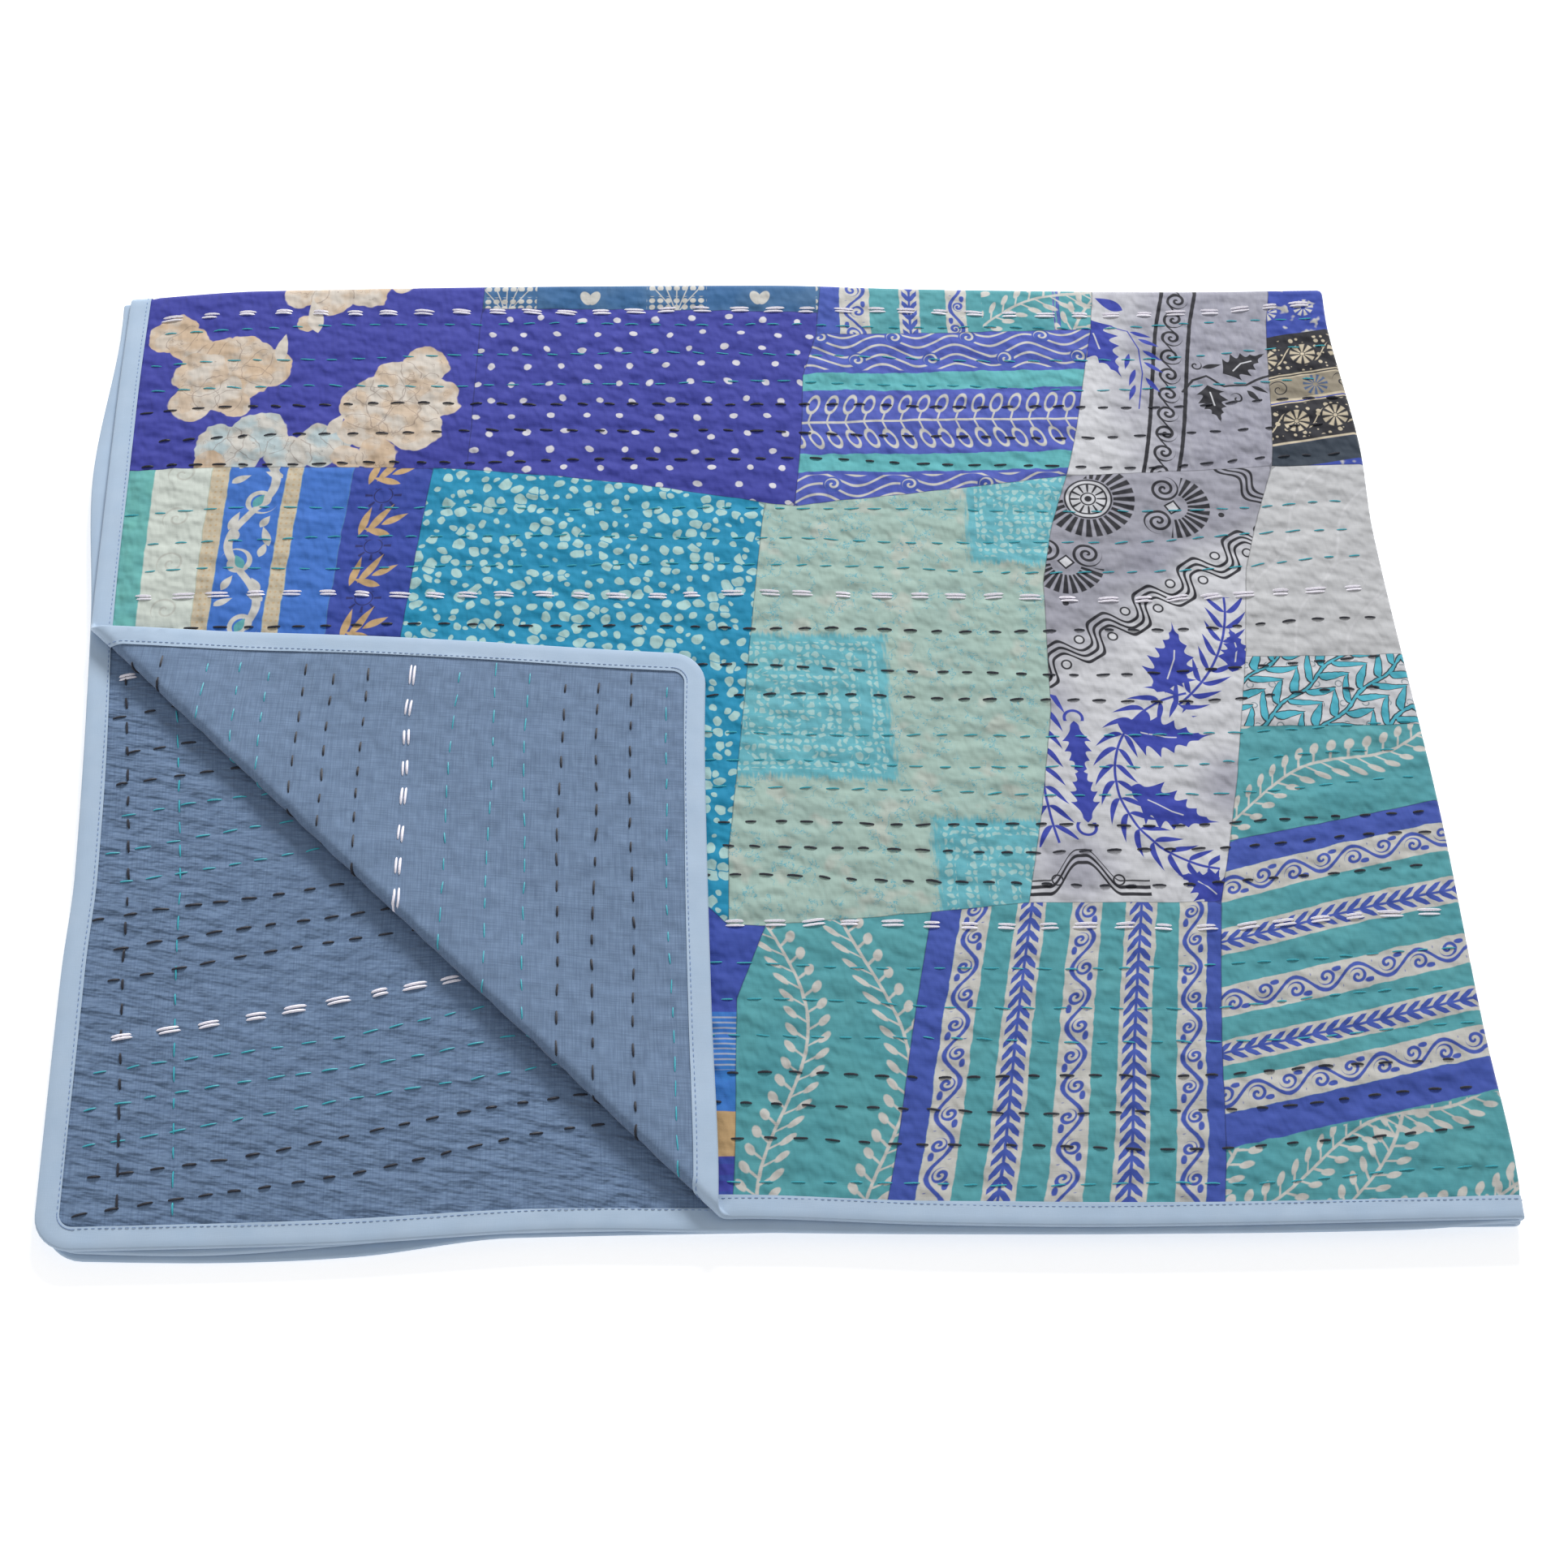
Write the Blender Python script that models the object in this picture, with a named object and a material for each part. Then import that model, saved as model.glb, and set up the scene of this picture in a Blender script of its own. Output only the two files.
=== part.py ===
# A hand-quilted patchwork throw, folded in four, with the top layer's front left corner turned back.
# Metres, +Z up. X runs along the folded quilt's long side, Y from its open front to its back fold.
#
# Every piece is cut and sewn flat first, at (u, v) on the open quilt and h through its thickness,
# with the patchwork side at positive h. Then the quilt is folded: its width in half at the right,
# its length in half at the back, and the top layer's corner is turned back along a slanting crease.

import math

import bmesh
import bpy
from mathutils import Vector

# The open quilt
QUILT_WIDTH = 1.524
QUILT_LENGTH = 1.270
CORNER_RADIUS = 0.020

# The cloth, through its thickness: each value is one piece's own thickness or clearance
PANEL_GAP = 0.0003
FACE_THICKNESS = 0.0012
BACKING_THICKNESS = 0.0010
FACE_PRESSED = 0.0007
BACKING_PRESSED = 0.0006

# The binding, a strip folded over the raw edges of both panels
BINDING_WIDTH = 0.0127
BINDING_CLOTH = 0.0005
BINDING_GAP = 0.0003
BINDING_EDGE = 0.0024
PANEL_INSET = 0.0034
PRESS_START = 0.0138
PRESS_END = 0.0175

# The rows of running stitches, which draw the cloth in by their depth
ROW_PITCH = 0.020
ROW_DEPTH = 0.0004
BACKING_ROWS_REACH = 0.38

# The folds
LAYER_GAP = 0.0004
BEND_STEPS = 6
UNDERSIDE_FADE = 0.05

# The turned-back corner: where the crease meets the left and the front edge, and its soft roll
CREASE_ON_LEFT = 0.3764
CREASE_ON_FRONT = 0.3578
ROLL_RADIUS = 0.0035
SETTLE_LENGTH = 0.060
SETTLE_STEPS = 3

# The grid that the flat panels are scored into, before they bend
COLUMNS = 10
ROWS = 18
CORNER_STEPS = 5
FOLD_MARGIN = 0.015

# How far each edge of the pile strays from a true rectangle.
# Columns: distance along the edge, stray to the right or to the back.
RIGHT_FOLD = (
    (0.000, 0.0035), (0.040, 0.0048), (0.110, 0.0024), (0.250, 0.0020),
    (0.440, -0.0045), (0.510, -0.0024), (0.600, -0.0080), (0.635, -0.0070),
)
BACK_FOLD = (
    (0.000, -0.0050), (0.080, 0.0012), (0.400, 0.0015),
    (0.500, -0.0030), (0.660, -0.0075), (0.762, -0.0075),
)
# The four layers from the top, each with its own loose left and front edge.
LEFT_EDGE = {
    "top": (
        (0.000, 0.0040), (0.055, 0.0024), (0.150, -0.0017), (0.220, -0.0034),
        (0.372, -0.0036), (0.540, -0.0030), (0.635, -0.0010),
    ),
    "second": (
        (0.000, 0.0000), (0.160, 0.0000), (0.220, 0.0016), (0.390, -0.0050),
        (0.495, -0.0132), (0.600, -0.0060), (0.635, -0.0060),
    ),
    "third": ((0.000, 0.0030), (0.300, 0.0040), (0.635, -0.0060)),
    "bottom": ((0.000, 0.0045), (0.300, 0.0030), (0.635, -0.0010)),
}
FRONT_EDGE = {
    "top": (
        (0.000, 0.0215), (0.070, 0.0205), (0.227, 0.0135), (0.309, 0.0085), (0.370, 0.0070),
        (0.455, 0.0012), (0.560, -0.0030), (0.762, -0.0050),
    ),
    "second": (
        (0.000, 0.0020), (0.150, 0.0014), (0.260, 0.0050), (0.350, 0.0018),
        (0.450, -0.0022), (0.560, -0.0056), (0.700, -0.0078), (0.762, -0.0050),
    ),
    "third": ((0.000, 0.0030), (0.090, -0.0010), (0.240, 0.0060), (0.762, -0.0050)),
    "bottom": ((0.000, 0.0000), (0.090, -0.0038), (0.160, -0.0026), (0.240, 0.0050), (0.762, -0.0050)),
}
# Soft swells of the whole pile. Columns: height as a share of the pile, waves along X, waves along Y, start.
SWELLS = (
    (0.020, 1.3, 0.7, 0.6),
    (0.012, -0.8, 1.6, 2.1),
)

# Worked out from the sizes above
FACE_TOP = PANEL_GAP / 2 + FACE_THICKNESS
FACE_TOP_PRESSED = PANEL_GAP / 2 + FACE_PRESSED
BACKING_TOP = -PANEL_GAP / 2 - BACKING_THICKNESS
BACKING_TOP_PRESSED = -PANEL_GAP / 2 - BACKING_PRESSED
BINDING_FACE_SIDE = FACE_TOP_PRESSED + BINDING_GAP + BINDING_CLOTH
BINDING_BACK_SIDE = -BACKING_TOP_PRESSED + BINDING_GAP + BINDING_CLOTH
INNER_BEND = BINDING_BACK_SIDE + LAYER_GAP / 2
OUTER_BEND = INNER_BEND + BINDING_FACE_SIDE + LAYER_GAP / 2
RIGHT_BEND_START = (QUILT_WIDTH - math.pi * INNER_BEND) / 2
RIGHT_BEND_END = QUILT_WIDTH - RIGHT_BEND_START
BACK_BEND_START = (QUILT_LENGTH - math.pi * OUTER_BEND) / 2
BACK_BEND_END = QUILT_LENGTH - BACK_BEND_START
PILE_MIDDLE = OUTER_BEND + INNER_BEND + BINDING_FACE_SIDE
TOP_LAYER = PILE_MIDDLE + OUTER_BEND + INNER_BEND
UNDERSIDE_DROP = BINDING_FACE_SIDE - FACE_TOP
FLAP_HEIGHT = 2 * BINDING_FACE_SIDE + LAYER_GAP
CREASE_LENGTH = math.hypot(CREASE_ON_LEFT, CREASE_ON_FRONT)
CREASE_OUTWARD = Vector((-CREASE_ON_LEFT, -CREASE_ON_FRONT)) / CREASE_LENGTH
CREASE_DISTANCE = CREASE_ON_LEFT * CREASE_ON_FRONT / CREASE_LENGTH + ROLL_RADIUS


def smooth(share):
    # 0 to 1 with level ends
    share = min(1.0, max(0.0, share))
    return share * share * (3 - 2 * share)


def along(table, position):
    # The stray at a position along an edge: a smooth curve through the table's rows.
    position = min(table[-1][0], max(table[0][0], position))
    last = len(table) - 1
    slopes = []
    for row in range(len(table)):
        before, after = table[max(0, row - 1)], table[min(last, row + 1)]
        slopes.append((after[1] - before[1]) / (after[0] - before[0]))
    row = 0
    while row < last - 1 and position > table[row + 1][0]:
        row += 1
    (start, low), (end, high) = table[row], table[row + 1]
    t = (position - start) / (end - start)
    return (
        low * (2 * t**3 - 3 * t**2 + 1)
        + slopes[row] * (end - start) * (t**3 - 2 * t**2 + t)
        + high * (3 * t**2 - 2 * t**3)
        + slopes[row + 1] * (end - start) * (t**3 - t**2)
    )


def edge_distance(u, v):
    # How far a point of the open quilt lies inside its rounded outline.
    across = min(u, QUILT_WIDTH - u)
    down = min(v, QUILT_LENGTH - v)
    if across < CORNER_RADIUS and down < CORNER_RADIUS:
        return CORNER_RADIUS - math.hypot(CORNER_RADIUS - across, CORNER_RADIUS - down)
    return min(across, down)


def loft_share(u, v):
    # 0 where the binding presses the panels flat, 1 where they have their full loft.
    return smooth((edge_distance(u, v) - PRESS_START) / (PRESS_END - PRESS_START))


def in_top_layer(u, v):
    return u < RIGHT_BEND_START - FOLD_MARGIN / 2 and v < BACK_BEND_START - FOLD_MARGIN / 2


def in_bared_backing(u, v):
    near_left = u < BACKING_ROWS_REACH or u > QUILT_WIDTH - BACKING_ROWS_REACH
    return near_left and v < BACKING_ROWS_REACH


def row_depth(v):
    # 1 on a row of stitches, 0 halfway to the next.
    return 0.5 + 0.5 * math.cos(2 * math.pi * v / ROW_PITCH)


def underside_drop(u, v):
    # The bottom layer sags to lie level with its own binding.
    past_back = smooth((v - BACK_BEND_END) / UNDERSIDE_FADE)
    before_right = smooth((RIGHT_BEND_START - u) / UNDERSIDE_FADE)
    return UNDERSIDE_DROP * past_back * before_right * loft_share(u, v)


def layer_name(u, v):
    in_front = v < QUILT_LENGTH / 2
    if u < QUILT_WIDTH / 2:
        return "top" if in_front else "bottom"
    return "second" if in_front else "third"


def fold(start, end, radius, position, offset):
    # One fold: where a point goes along the folded cloth, and how far it lies from the fold's middle.
    if position <= start:
        return position, radius + offset
    if position >= end:
        return start - (position - end), -(radius + offset)
    angle = (position - start) / radius
    return start + (radius + offset) * math.sin(angle), (radius + offset) * math.cos(angle)


def folded(flat):
    # A point of the flat quilt, after both folds and with the edges' strays.
    u, v, h = flat
    name = layer_name(u, v)
    x, offset = fold(RIGHT_BEND_START, RIGHT_BEND_END, INNER_BEND, u, h)
    y, height = fold(BACK_BEND_START, BACK_BEND_END, OUTER_BEND, v, offset)
    share_x, share_y = x / RIGHT_BEND_START, y / BACK_BEND_START
    stray_x = along(LEFT_EDGE[name], y) * (1 - share_x) + along(RIGHT_FOLD, y) * share_x
    stray_y = along(FRONT_EDGE[name], x) * (1 - share_y) + along(BACK_FOLD, x) * share_y
    return Vector((x + stray_x, y + stray_y, PILE_MIDDLE + height))


def past_crease(point):
    # How far a point of the top layer lies past the line where the roll begins.
    return point.xy.dot(CREASE_OUTWARD) + CREASE_DISTANCE


def turned_back(point):
    # A point of the top layer past the crease, rolled over and laid on the layer.
    past = past_crease(point)
    if past <= 0:
        return point
    offset = point.z - TOP_LAYER
    turn = math.pi * ROLL_RADIUS
    if past < turn:
        angle = past / ROLL_RADIUS
        reach = (ROLL_RADIUS - offset) * math.sin(angle)
        z = TOP_LAYER + ROLL_RADIUS - (ROLL_RADIUS - offset) * math.cos(angle)
    else:
        reach = turn - past
        settled = smooth(-reach / SETTLE_LENGTH)
        z = TOP_LAYER + 2 * ROLL_RADIUS + (FLAP_HEIGHT - 2 * ROLL_RADIUS) * settled - offset
    place = point.xy + CREASE_OUTWARD * (reach - past)
    return Vector((place.x, place.y, z))


def swollen(point):
    # The whole pile swells and sinks a little, more with height.
    swell = 0.0
    for share, waves_x, waves_y, start in SWELLS:
        phase = waves_x * point.x / QUILT_WIDTH + waves_y * point.y / QUILT_LENGTH
        swell += share * (1 + math.sin(4 * math.pi * phase + start)) / 2
    return Vector((point.x, point.y, point.z * (1 + swell)))


def cut(bm, faces, point, normal):
    # Scores a line across the given faces, without taking anything away.
    edges = {edge for face in faces for edge in face.edges}
    verts = {vert for face in faces for vert in face.verts}
    bmesh.ops.bisect_plane(
        bm, geom=[*faces, *edges, *verts], dist=1e-6, plane_co=point, plane_no=normal
    )


def outline(inset):
    # Points round the open quilt, inside its rounded outline by the inset.
    radius = CORNER_RADIUS - inset
    corners = (
        (QUILT_WIDTH - CORNER_RADIUS, QUILT_LENGTH - CORNER_RADIUS),
        (CORNER_RADIUS, QUILT_LENGTH - CORNER_RADIUS),
        (CORNER_RADIUS, CORNER_RADIUS),
        (QUILT_WIDTH - CORNER_RADIUS, CORNER_RADIUS),
    )
    points = []
    for quarter, (u, v) in enumerate(corners):
        for step in range(CORNER_STEPS + 1):
            angle = (quarter + step / CORNER_STEPS) * math.pi / 2
            points.append((u + radius * math.cos(angle), v + radius * math.sin(angle)))
    return points


def score_grid(bm):
    # The lines at which every piece may bend: a plain grid, and close lines across both folds.
    across = [QUILT_WIDTH * k / COLUMNS for k in range(1, COLUMNS) if 2 * k != COLUMNS]
    down = [QUILT_LENGTH * k / ROWS for k in range(1, ROWS) if 2 * k != ROWS]
    for step in range(BEND_STEPS + 1):
        share = step / BEND_STEPS
        across.append(RIGHT_BEND_START + share * (RIGHT_BEND_END - RIGHT_BEND_START))
        down.append(BACK_BEND_START + share * (BACK_BEND_END - BACK_BEND_START))
    across += [RIGHT_BEND_START - FOLD_MARGIN, RIGHT_BEND_END + FOLD_MARGIN]
    down += [BACK_BEND_START - FOLD_MARGIN, BACK_BEND_END + FOLD_MARGIN]
    for u in sorted(across):
        cut(bm, bm.faces[:], (u, 0, 0), (1, 0, 0))
    for v in sorted(down):
        cut(bm, bm.faces[:], (0, v, 0), (0, 1, 0))


def score_press(bm):
    # The lines beside the binding, between which a panel swells from pressed to full loft.
    for inset in (PRESS_START, PRESS_END):
        for u in (inset, QUILT_WIDTH - inset):
            cut(bm, bm.faces[:], (u, 0, 0), (1, 0, 0))
        for v in (inset, QUILT_LENGTH - inset):
            cut(bm, bm.faces[:], (0, v, 0), (0, 1, 0))


def score_rows(bm, in_zone):
    # The lines of the stitch rows and the crests between them, over one zone of a panel.
    count = math.ceil(QUILT_LENGTH / ROW_PITCH * 2)
    for k in range(1, count):
        v = k * ROW_PITCH / 2
        near = [
            face for face in bm.faces
            if in_zone(*face.calc_center_median().xy)
            and min(vert.co.y for vert in face.verts) < v < max(vert.co.y for vert in face.verts)
        ]
        if near:
            cut(bm, near, (0, v, 0), (0, 1, 0))


def flat_panel(in_zone, inner, pressed, full):
    # One panel lying flat: its inner side is level, and its outer side is pressed, lofted and stitched.
    bm = bmesh.new()
    bm.faces.new([bm.verts.new((u, v, inner)) for u, v in outline(PANEL_INSET)])
    score_grid(bm)
    score_press(bm)
    score_rows(bm, in_zone)
    raised = bmesh.ops.extrude_face_region(bm, geom=bm.faces[:])
    outward = math.copysign(1.0, full)
    for vert in raised["geom"]:
        if isinstance(vert, bmesh.types.BMVert):
            u, v, _ = vert.co
            loft = loft_share(u, v)
            rows = ROW_DEPTH * row_depth(v) if in_zone(u, v) else 0.0
            vert.co.z = pressed + (full - pressed - outward * rows) * loft
    bmesh.ops.recalc_face_normals(bm, faces=bm.faces)
    return bm


def flat_binding():
    # The folded strip: its section, as inset from the outline and height, carried round the quilt.
    top, bottom = BINDING_FACE_SIDE, -BINDING_BACK_SIDE
    section = (
        (BINDING_WIDTH, top), (BINDING_EDGE / 2, top), (BINDING_EDGE / 7, top * 0.65),
        (0.0, 0.0),
        (BINDING_EDGE / 7, bottom * 0.65), (BINDING_EDGE / 2, bottom), (BINDING_WIDTH, bottom),
        (BINDING_WIDTH, bottom + BINDING_CLOTH), (BINDING_EDGE, bottom + BINDING_CLOTH),
        (BINDING_EDGE, top - BINDING_CLOTH), (BINDING_WIDTH, top - BINDING_CLOTH),
    )
    bm = bmesh.new()
    rings = [
        [bm.verts.new((u, v, height)) for u, v in outline(inset)] for inset, height in section
    ]
    for ring, following in zip(rings, rings[1:] + rings[:1]):
        for k in range(len(ring)):
            near = (k + 1) % len(ring)
            bm.faces.new((ring[k], ring[near], following[near], following[k]))
    score_grid(bm)
    bmesh.ops.recalc_face_normals(bm, faces=bm.faces)
    return bm


def turn_corner(bm):
    # Scores the top layer along the crease's roll and along the flap's slope, then rolls it over.
    below_top = TOP_LAYER - INNER_BEND + LAYER_GAP / 4
    turn = math.pi * ROLL_RADIUS
    lines = [turn * step / BEND_STEPS for step in range(BEND_STEPS + 1)]
    lines += [turn + SETTLE_LENGTH * step / SETTLE_STEPS for step in range(1, SETTLE_STEPS + 1)]
    for past in lines:
        start = CREASE_OUTWARD * (past - CREASE_DISTANCE)
        near = [
            face for face in bm.faces
            if min(vert.co.z for vert in face.verts) > below_top
            and min(past_crease(vert.co) for vert in face.verts) < past
            < max(past_crease(vert.co) for vert in face.verts)
        ]
        cut(bm, near, (start.x, start.y, 0), (CREASE_OUTWARD.x, CREASE_OUTWARD.y, 0))
    for vert in bm.verts:
        if vert.co.z > below_top:
            vert.co = turned_back(vert.co)


def fold_up(bm):
    for vert in bm.verts:
        u, v, h = vert.co
        vert.co = folded((u, v, h + underside_drop(u, v)))
    turn_corner(bm)
    for vert in bm.verts:
        vert.co = swollen(vert.co)
    bmesh.ops.triangulate(bm, faces=bm.faces)


def cloth(name, colour, roughness):
    material = bpy.data.materials.new(name)
    material.use_nodes = True
    shader = material.node_tree.nodes["Principled BSDF"]
    shader.inputs["Base Color"].default_value = (*colour, 1.0)
    shader.inputs["Roughness"].default_value = roughness
    shader.inputs["Metallic"].default_value = 0.0
    return material


def add_piece(name, bm, material):
    mesh = bpy.data.meshes.new(name)
    bm.to_mesh(mesh)
    bm.free()
    mesh.materials.append(material)
    mesh.shade_smooth()
    mesh.set_sharp_from_angle(angle=math.radians(35))
    piece = bpy.data.objects.new(name, mesh)
    bpy.context.scene.collection.objects.link(piece)
    return piece


def centre_on_floor(pieces):
    # Puts the origin under the middle of the pile, on the surface that it lies on.
    corners = [vert.co for piece in pieces for vert in piece.data.vertices]
    low = Vector([min(corner[axis] for corner in corners) for axis in range(3)])
    high = Vector([max(corner[axis] for corner in corners) for axis in range(3)])
    middle = (low + high) / 2
    for piece in pieces:
        for vert in piece.data.vertices:
            vert.co -= Vector((middle.x, middle.y, low.z))
    print(f"middle of the pile {middle.x:.5f} {middle.y:.5f}, size {high - low}")


def main():
    for item in list(bpy.data.objects):
        bpy.data.objects.remove(item, do_unlink=True)

    face = flat_panel(in_top_layer, PANEL_GAP / 2, FACE_TOP_PRESSED, FACE_TOP)
    backing = flat_panel(in_bared_backing, -PANEL_GAP / 2, BACKING_TOP_PRESSED, BACKING_TOP)
    binding = flat_binding()
    for piece in (face, backing, binding):
        fold_up(piece)
    centre_on_floor((
        add_piece("patchwork_face", face, cloth("patchwork cotton", (0.10, 0.36, 0.48), 0.92)),
        add_piece("slate_backing", backing, cloth("slate cotton", (0.13, 0.19, 0.28), 0.95)),
        add_piece("edge_binding", binding, cloth("pale blue binding", (0.42, 0.56, 0.74), 0.85)),
    ))


main()
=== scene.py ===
# A hand-quilted patchwork throw, folded in four, with the top layer's front left corner turned back.
# Metres, +Z up. The patchwork, the slate backing and the edge binding lie flat first, at (u, v) on the
# open quilt and h through its thickness, and are then folded just as the frame's own solids are.

import math

import bmesh
import bpy
import numpy as np
from mathutils import Matrix, Vector


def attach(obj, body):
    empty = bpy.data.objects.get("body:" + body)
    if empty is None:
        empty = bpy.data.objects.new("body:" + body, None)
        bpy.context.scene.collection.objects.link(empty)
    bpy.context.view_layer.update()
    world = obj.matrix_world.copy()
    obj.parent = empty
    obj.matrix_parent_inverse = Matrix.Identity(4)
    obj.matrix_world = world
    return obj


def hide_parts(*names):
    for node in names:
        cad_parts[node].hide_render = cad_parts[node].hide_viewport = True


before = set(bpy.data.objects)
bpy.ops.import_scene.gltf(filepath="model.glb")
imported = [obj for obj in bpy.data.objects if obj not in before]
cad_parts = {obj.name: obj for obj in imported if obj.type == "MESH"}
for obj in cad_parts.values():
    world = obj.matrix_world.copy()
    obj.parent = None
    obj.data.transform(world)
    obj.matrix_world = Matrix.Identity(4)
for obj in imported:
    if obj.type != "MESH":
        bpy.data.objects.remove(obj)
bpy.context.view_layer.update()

quilt = {
    "width": 1.524,
    "length": 1.270,
    "cornerRadius": 0.020,
    "panelGap": 0.0003,
    "panelInset": 0.0034,
    "faceFull": 0.00135,
    "facePressed": 0.00085,
    "backingFull": -0.00115,
    "backingPressed": -0.00075,
    "bindingFaceSide": 0.00165,
    "bindingBackSide": 0.00155,
    "layerGap": 0.0004,
    "pressStart": 0.0138,
    "pressEnd": 0.0175,
    "undersideFade": 0.05,
    "flapReach": 0.372,
    "fineReach": 0.376,
    "pileMiddle": (0.37675, 0.31574),
}
crease = {"onLeft": 0.3764, "onFront": 0.3578, "rollRadius": 0.0035, "settle": 0.060}

# How far each edge of the pile strays from a true rectangle.
# Columns: distance along the edge, stray to the right or to the back.
rightFold = (
    (0.000, 0.0035), (0.040, 0.0048), (0.110, 0.0024), (0.250, 0.0020),
    (0.440, -0.0045), (0.510, -0.0024), (0.600, -0.0080), (0.635, -0.0070),
)
backFold = (
    (0.000, -0.0050), (0.080, 0.0012), (0.400, 0.0015),
    (0.500, -0.0030), (0.660, -0.0075), (0.762, -0.0075),
)
leftEdge = {
    "top": (
        (0.000, 0.0040), (0.055, 0.0024), (0.150, -0.0017), (0.220, -0.0034),
        (0.372, -0.0036), (0.540, -0.0030), (0.635, -0.0010),
    ),
    "second": (
        (0.000, 0.0000), (0.160, 0.0000), (0.220, 0.0016), (0.390, -0.0050),
        (0.495, -0.0132), (0.600, -0.0060), (0.635, -0.0060),
    ),
    "third": ((0.000, 0.0030), (0.300, 0.0040), (0.635, -0.0060)),
    "bottom": ((0.000, 0.0045), (0.300, 0.0030), (0.635, -0.0010)),
}
frontEdge = {
    "top": (
        (0.000, 0.0215), (0.070, 0.0205), (0.227, 0.0135), (0.309, 0.0085), (0.370, 0.0070),
        (0.455, 0.0012), (0.560, -0.0030), (0.762, -0.0050),
    ),
    "second": (
        (0.000, 0.0020), (0.150, 0.0014), (0.260, 0.0050), (0.350, 0.0018),
        (0.450, -0.0022), (0.560, -0.0056), (0.700, -0.0078), (0.762, -0.0050),
    ),
    "third": ((0.000, 0.0030), (0.090, -0.0010), (0.240, 0.0060), (0.762, -0.0050)),
    "bottom": ((0.000, 0.0000), (0.090, -0.0038), (0.160, -0.0026), (0.240, 0.0050), (0.762, -0.0050)),
}
# Soft swells of the whole pile. Columns: share of the height, waves along X, waves along Y, start.
swells = ((0.020, 1.3, 0.7, 0.6), (0.012, -0.8, 1.6, 2.1))

# Worked out from the sizes above
innerBend = quilt["bindingBackSide"] + quilt["layerGap"] / 2
outerBend = innerBend + quilt["bindingFaceSide"] + quilt["layerGap"] / 2
rightBend = ((quilt["width"] - math.pi * innerBend) / 2, (quilt["width"] + math.pi * innerBend) / 2)
backBend = ((quilt["length"] - math.pi * outerBend) / 2, (quilt["length"] + math.pi * outerBend) / 2)
pileMiddle = outerBend + innerBend + quilt["bindingFaceSide"]
topLayer = pileMiddle + outerBend + innerBend
undersideDrop = quilt["bindingFaceSide"] - quilt["faceFull"]
flapHeight = 2 * quilt["bindingFaceSide"] + quilt["layerGap"]
creaseLength = math.hypot(crease["onLeft"], crease["onFront"])
creaseOutward = np.array((-crease["onLeft"], -crease["onFront"])) / creaseLength
creaseDistance = crease["onLeft"] * crease["onFront"] / creaseLength + crease["rollRadius"]
rollTurn = math.pi * crease["rollRadius"]


def smooth(share):
    share = np.clip(share, 0.0, 1.0)
    return share * share * (3 - 2 * share)


def along(table, position):
    # The stray at each position along an edge: a smooth curve through the table's rows.
    places, strays = np.array(table).T
    slopes = np.empty_like(strays)
    slopes[1:-1] = (strays[2:] - strays[:-2]) / (places[2:] - places[:-2])
    slopes[0] = (strays[1] - strays[0]) / (places[1] - places[0])
    slopes[-1] = (strays[-1] - strays[-2]) / (places[-1] - places[-2])
    position = np.clip(position, places[0], places[-1])
    row = np.clip(np.searchsorted(places, position) - 1, 0, len(places) - 2)
    step = places[row + 1] - places[row]
    t = (position - places[row]) / step
    return (
        strays[row] * (2 * t**3 - 3 * t**2 + 1)
        + slopes[row] * step * (t**3 - 2 * t**2 + t)
        + strays[row + 1] * (3 * t**2 - 2 * t**3)
        + slopes[row + 1] * step * (t**3 - t**2)
    )


def edgeDistance(u, v):
    # How far each point of the open quilt lies inside its rounded outline.
    across = np.minimum(u, quilt["width"] - u)
    down = np.minimum(v, quilt["length"] - v)
    radius = quilt["cornerRadius"]
    inCorner = (across < radius) & (down < radius)
    return np.where(inCorner, radius - np.hypot(radius - across, radius - down), np.minimum(across, down))


def loftShare(u, v):
    # 0 where the binding presses the panels flat, 1 where they have their full loft.
    return smooth((edgeDistance(u, v) - quilt["pressStart"]) / (quilt["pressEnd"] - quilt["pressStart"]))


def fold(bend, radius, position, offset):
    # One fold: where a point goes along the folded cloth, and how far it lies from the fold's middle.
    start, end = bend
    angle = np.clip((position - start) / radius, 0.0, np.pi)
    place = start + np.minimum(position - start, 0) - np.maximum(position - end, 0)
    return place + (radius + offset) * np.sin(angle), (radius + offset) * np.cos(angle)


def byLayer(tables, u, v, position):
    # Each layer of the pile takes the stray of its own loose edge.
    inFront = v < quilt["length"] / 2
    onLeft = u < quilt["width"] / 2
    strays = {name: along(table, position) for name, table in tables.items()}
    return np.where(
        inFront,
        np.where(onLeft, strays["top"], strays["second"]),
        np.where(onLeft, strays["bottom"], strays["third"]),
    )


def folded(u, v, h):
    # Points of the flat quilt, after both folds and with the edges' strays.
    pastBack = smooth((v - backBend[1]) / quilt["undersideFade"])
    beforeRight = smooth((rightBend[0] - u) / quilt["undersideFade"])
    h = h + undersideDrop * pastBack * beforeRight * loftShare(u, v)
    x, offset = fold(rightBend, innerBend, u, h)
    y, height = fold(backBend, outerBend, v, offset)
    shareX = x / rightBend[0]
    shareY = y / backBend[0]
    strayX = byLayer(leftEdge, u, v, y) * (1 - shareX) + along(rightFold, y) * shareX
    strayY = byLayer(frontEdge, u, v, x) * (1 - shareY) + along(backFold, x) * shareY
    return np.stack((x + strayX, y + strayY, pileMiddle + height), axis=1)


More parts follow.
